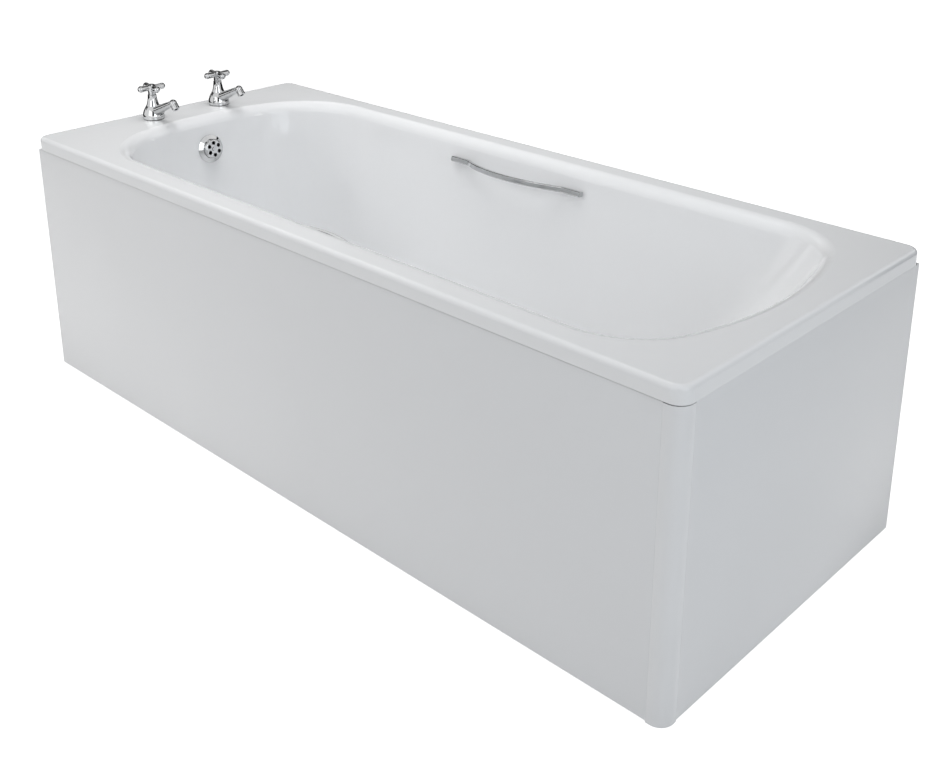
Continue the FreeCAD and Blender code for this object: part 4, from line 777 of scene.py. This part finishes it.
@dataclass
class Panels:
    """Front and end boards with soft edges, the corner post and the fixings behind them.

    A face is told by how far its normal agrees with the way that the board's back, ends or top looks.
    """

    soft_edge: float = 0.0005
    edge_steps: int = 3
    edge_profile: float = 0.5
    lip_gap: float = 0.0008
    back_agrees: float = 0.95
    edge_agrees: float = 0.5
    boards: dict[str, Point] = field(
        default_factory=lambda: {"front_panel": (0.0, 1.0, 0.0), "end_panel": (-1.0, 0.0, 0.0)}
    )
    zinc: tuple[str, ...] = ("panel_clips", "panel_brackets", "end_panel_stay", "panel_screws")

    def board(self, node: str, back: Vector) -> None:
        """Draws a lacquered board with taped edges and a raw back.

        Args:
            node: The CAD board that it stands for.
            back: The way its back looks.
        """
        low, high = (Vector(corner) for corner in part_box(node))
        high.z -= self.lip_gap
        shape = bmesh.new()
        bmesh.ops.create_cube(shape, size=1.0)
        for vertex in shape.verts:
            vertex.co = [(low[i] + high[i]) / 2 + vertex.co[i] * (high[i] - low[i]) for i in range(3)]
        bmesh.ops.bevel(
            shape, geom=shape.edges[:], offset=self.soft_edge, segments=self.edge_steps,
            profile=self.edge_profile, affect="EDGES",
        )
        across = Vector((back.y, back.x, 0.0))
        for face in shape.faces:
            backward = face.normal.dot(back)
            sideways = max(abs(face.normal.z), abs(face.normal.dot(across)))
            if backward > self.back_agrees:
                face.material_index = BoardFace.BACK
            elif backward > -self.edge_agrees and sideways > self.edge_agrees:
                face.material_index = BoardFace.EDGE
        finishes = {BoardFace.FRONT: LACQUER, BoardFace.EDGE: EDGE_TAPE, BoardFace.BACK: RAW_BOARD}
        mesh = mesh_from(shape, f"{node}_board")
        add_piece(mesh, (finishes[face] for face in BoardFace), node)

    def build(self) -> None:
        """Draws the boards and dresses the post and fixings."""
        for node, back in self.boards.items():
            self.board(node, Vector(back))
        SHELF.dress(POST, ("corner_post",))
        SHELF.dress(ZINC, self.zinc)


@dataclass
class Taps:
    """The hot and cold pillar taps."""

    sides: tuple[str, ...] = ("hot", "cold")
    bright: tuple[str, ...] = ("tap_nozzle", "shroud", "handle", "index_cap")
    inner: tuple[str, ...] = ("headwork", "valve_carrier", "spindle")

    def build(self) -> None:
        """Dresses both taps and their fixings under the deck."""
        for side in self.sides:
            SHELF.dress(TAP_CHROME, (f"{side}_tap_body",))
            SHELF.dress(CHROME, [f"{side}_{piece}" for piece in self.bright])
            SHELF.dress(BRASS, [f"{side}_{piece}" for piece in self.inner])
            SHELF.dress(ZINC, (f"{side}_handle_screw",))
            SHELF.dress(RUBBER, (f"{side}_valve_washer",))
        SHELF.dress(RUBBER, ("tap_gaskets",))
        SHELF.dress(WHITE_PLASTIC, ("tap_washers",))
        SHELF.dress(BRASS, ("tap_backnuts",))


@dataclass
class Overflow:
    """The rose in the basin wall and the pipe behind it."""

    chrome: tuple[str, ...] = ("overflow_rose", "overflow_screw")
    black: tuple[str, ...] = ("overflow_elbow", "overflow_pipe")

    def build(self) -> None:
        """Dresses the rose, seal, elbow, pipe and clips."""
        SHELF.dress(CHROME, self.chrome)
        SHELF.dress(RUBBER, ("overflow_seal",))
        SHELF.dress(BLACK_PLASTIC, self.black)
        SHELF.dress(ZINC, ("pipe_clips",))


@dataclass
class Waste:
    """The waste fitting in the floor and its lifting plug."""

    chrome: tuple[str, ...] = ("waste_flange", "plug_cap")
    rubber: tuple[str, ...] = ("waste_seal", "waste_gasket", "plug_seal")

    def build(self) -> None:
        """Dresses the flange, plug, seals and body."""
        SHELF.dress(CHROME, self.chrome)
        SHELF.dress(RUBBER, self.rubber)
        SHELF.dress(WHITE_PLASTIC, ("waste_body",))
        SHELF.dress(BRASS, ("plug_stem",))


@dataclass
class Grips:
    """The bow grips on the side walls."""

    chrome: tuple[str, ...] = ("back_grip", "front_grip")

    def build(self) -> None:
        """Dresses the bows, seals, studs and nuts."""
        SHELF.dress(CHROME, self.chrome)
        SHELF.dress(RUBBER, ("grip_seals",))
        SHELF.dress(ZINC, ("grip_studs", "grip_nuts"))


# Studio


@dataclass(frozen=True)
class Lamp:
    """A soft lamp that looks at a point, and that metal and enamel may mirror or not."""

    name: str
    place: Point
    aim: Point
    size: tuple[float, float]
    power: float
    tint: Colour = WHITE
    spread: float = pi
    mirrored: bool = True


@dataclass(frozen=True)
class Card:
    """A card of one tone, dark unless set, that is seen only in mirrored rays."""

    name: str
    place: Point
    aim: Point
    size: tuple[float, float]
    tone: float = 0.02


@dataclass
class Studio:
    """Floor, white surround, lamps, cards to mirror, and camera."""

    card_half: float = 0.5
    floor_half: float = 30.0
    floor_grey: float = 0.72
    floor_glow: float = 0.86
    light_level: float = 0.29
    light_tint: Colour = (0.985, 0.995, 1.0)
    lamps: tuple[Lamp, ...] = (
        Lamp("top_lamp", (-0.4, 0.1, 2.9), (-0.3, 0.05, 0.5), (2.0, 1.6), 13.2, spread=1.6, mirrored=False),
        Lamp("left_lamp", (-2.6, -2.2, 2.1), (-0.6, -0.2, 0.5), (1.0, 1.0), 21.0, mirrored=False),
        Lamp("right_lamp", (2.8, -0.9, 1.5), (0.85, 0.0, 0.3), (1.8, 1.8), 19.2, (0.89, 0.945, 1.0)),
        Lamp("front_lamp", (0.5, -3.0, 1.6), (0.1, -0.3, 0.3), (2.4, 1.6), 11.2),
    )
    cards: tuple[Card, ...] = (
        Card("end_card", (-1.2, -0.15, 0.53), (-1.2, -0.15, 0.0), (0.66, 1.3)),
        Card("left_card", (-3.2, -0.6, 1.0), (-0.79, 0.0, 0.6), (1.1, 1.8)),
        Card("back_card", (0.6, 2.9, 0.75), (-0.2, 0.0, 0.7), (3.4, 1.5)),
        Card("far_card", (-1.2, 3.3, 2.2), (0.1, 0.0, 2.2), (4.4, 4.2), 0.05),
        Card("sky_card", (-0.4, 0.1, 2.9), (-0.3, 0.05, 0.5), (1.2, 1.0), 1.5),
        Card("over_card", (-0.9, 0.6, 4.6), (-0.2, 0.0, 0.5), (6.0, 5.0), 0.1),
        Card("high_left_card", (-4.6, -1.0, 3.6), (-0.2, 0.2, 0.5), (6.0, 3.4), 0.1),
        Card("far_left_card", (-3.6, 1.9, 1.77), (0.0, 0.0, 1.77), (2.6, 1.62), 0.15),
        Card("low_left_card", (-3.6, 1.9, 0.48), (0.0, 0.0, 0.48), (2.6, 0.96), 0.6),
        Card("near_card", (2.7, -2.6, 2.1), (-0.7, 0.0, 0.6), (2.2, 2.0)),
    )
    camera_place: Point = (1.6267, -1.5593, 1.3021)
    camera_aim: Point = (-0.5170, 0.6893, 0.2500)
    camera_focal: float = 1226.35
    camera_shift: float = -0.2003

    def turn(self, item: bpy.types.Object, place: Point, aim: Point) -> None:
        """Puts an object at a place and turns its -Z towards a point.

        Args:
            item: The object.
            place: Where it goes.
            aim: What it looks at.
        """
        item.location = place
        look = Vector(aim) - Vector(place)
        item.rotation_euler = look.to_track_quat("-Z", "Y").to_euler()

    def background_rays(self, wiring: Wiring) -> bpy.types.NodeSocket:
        """Gives 1 for camera, mirrored and refracted rays, else 0.

        Args:
            wiring: The tree's wiring.

        Returns:
            The value's socket.
        """
        rays = wiring.node("ShaderNodeLightPath").outputs
        seen = wiring.math("MAXIMUM", rays["Is Camera Ray"], rays["Is Glossy Ray"])
        return wiring.math("MAXIMUM", seen, rays["Is Transmission Ray"])

    def surround(self) -> None:
        """Makes a white surround that lights the bath at a plain level."""
        world = bpy.data.worlds.new("white_surround")
        wiring = fresh_wiring(world)
        seen = self.background_rays(wiring)
        level = wiring.span(seen, 0.0, 1.0, self.light_level, 1.0)
        tint = wiring.mix(seen, self.light_tint, WHITE)
        glow = wiring.node("ShaderNodeBackground", {"Color": tint, "Strength": level})
        sink = wiring.node("ShaderNodeOutputWorld")
        wiring.feed(sink.inputs["Surface"], glow.outputs[0])
        bpy.context.scene.world = world

    def sheet(self, name: str, half: float, material: bpy.types.Material) -> bpy.types.Object:
        """Puts a level square in the scene.

        Args:
            name: Its name.
            half: Half its width.
            material: Its material.

        Returns:
            The square.
        """
        shape = bmesh.new()
        bmesh.ops.create_grid(shape, x_segments=1, y_segments=1, size=half)
        mesh = mesh_from(shape, name, smooth=False)
        mesh.materials.append(material)
        item = bpy.data.objects.new(name, mesh)
        bpy.context.scene.collection.objects.link(item)
        return item

    def floor(self) -> None:
        """Lays a pale floor that keeps a faint shadow."""
        material = bpy.data.materials.new("pale_floor")
        wiring = fresh_wiring(material)
        matt = wiring.node("ShaderNodeBsdfDiffuse", {"Color": (self.floor_grey,) * 3})
        level = wiring.math("MULTIPLY", self.background_rays(wiring), self.floor_glow)
        glow = wiring.node("ShaderNodeEmission", {"Color": WHITE, "Strength": level})
        both = wiring.node("ShaderNodeAddShader", {0: matt.outputs[0], 1: glow.outputs[0]})
        sink = wiring.node("ShaderNodeOutputMaterial")
        wiring.feed(sink.inputs["Surface"], both.outputs[0])
        self.sheet("floor", self.floor_half, material)

    def hang_lamps(self) -> None:
        """Hangs the soft lamps."""
        for lamp in self.lamps:
            light = bpy.data.lights.new(lamp.name, "AREA")
            light.shape = "RECTANGLE"
            light.size, light.size_y = lamp.size
            light.energy = lamp.power
            light.color = lamp.tint
            light.spread = lamp.spread
            item = bpy.data.objects.new(lamp.name, light)
            bpy.context.scene.collection.objects.link(item)
            item.visible_glossy = lamp.mirrored
            self.turn(item, lamp.place, lamp.aim)
            LOG.info("hung %s", lamp.name)

    def stand_cards(self) -> None:
        """Stands the cards, which only mirrored rays meet."""
        for card in self.cards:
            material = bpy.data.materials.new(card.name)
            wiring = fresh_wiring(material)
            face = wiring.node("ShaderNodeEmission", {"Color": (card.tone,) * 3, "Strength": 1.0})
            sink = wiring.node("ShaderNodeOutputMaterial")
            wiring.feed(sink.inputs["Surface"], face.outputs[0])
            item = self.sheet(card.name, self.card_half, material)
            item.scale = (*card.size, 1.0)
            self.turn(item, card.place, card.aim)
            item.visible_camera = False
            item.visible_diffuse = False
            item.visible_shadow = False
            item.visible_transmission = False
            LOG.info("stood %s", card.name)

    def camera(self) -> None:
        """Sets up the camera at the photograph's angle."""
        lens = bpy.data.cameras.new("camera")
        lens.sensor_fit = "HORIZONTAL"
        lens.sensor_width = SENSOR_WIDTH
        lens.lens = self.camera_focal / IMAGE_WIDTH * SENSOR_WIDTH
        lens.shift_y = self.camera_shift
        lens.dof.use_dof = False
        item = bpy.data.objects.new("camera", lens)
        bpy.context.scene.collection.objects.link(item)
        self.turn(item, self.camera_place, self.camera_aim)
        bpy.context.scene.camera = item

    def build(self) -> None:
        """Builds the studio round the bath."""
        self.surround()
        self.floor()
        self.hang_lamps()
        self.stand_cards()
        self.camera()
        bpy.context.scene.view_settings.view_transform = "Standard"


def main() -> None:
    """Builds the studio and every sub-assembly in order."""
    logging.basicConfig(level=logging.INFO, format="%(message)s")
    for assembly in (Studio(), Shell(), Legs(), Panels(), Taps(), Overflow(), Waste(), Grips()):
        LOG.info("building %s", type(assembly).__name__)
        assembly.build()


if __name__ == "__main__":
    main()
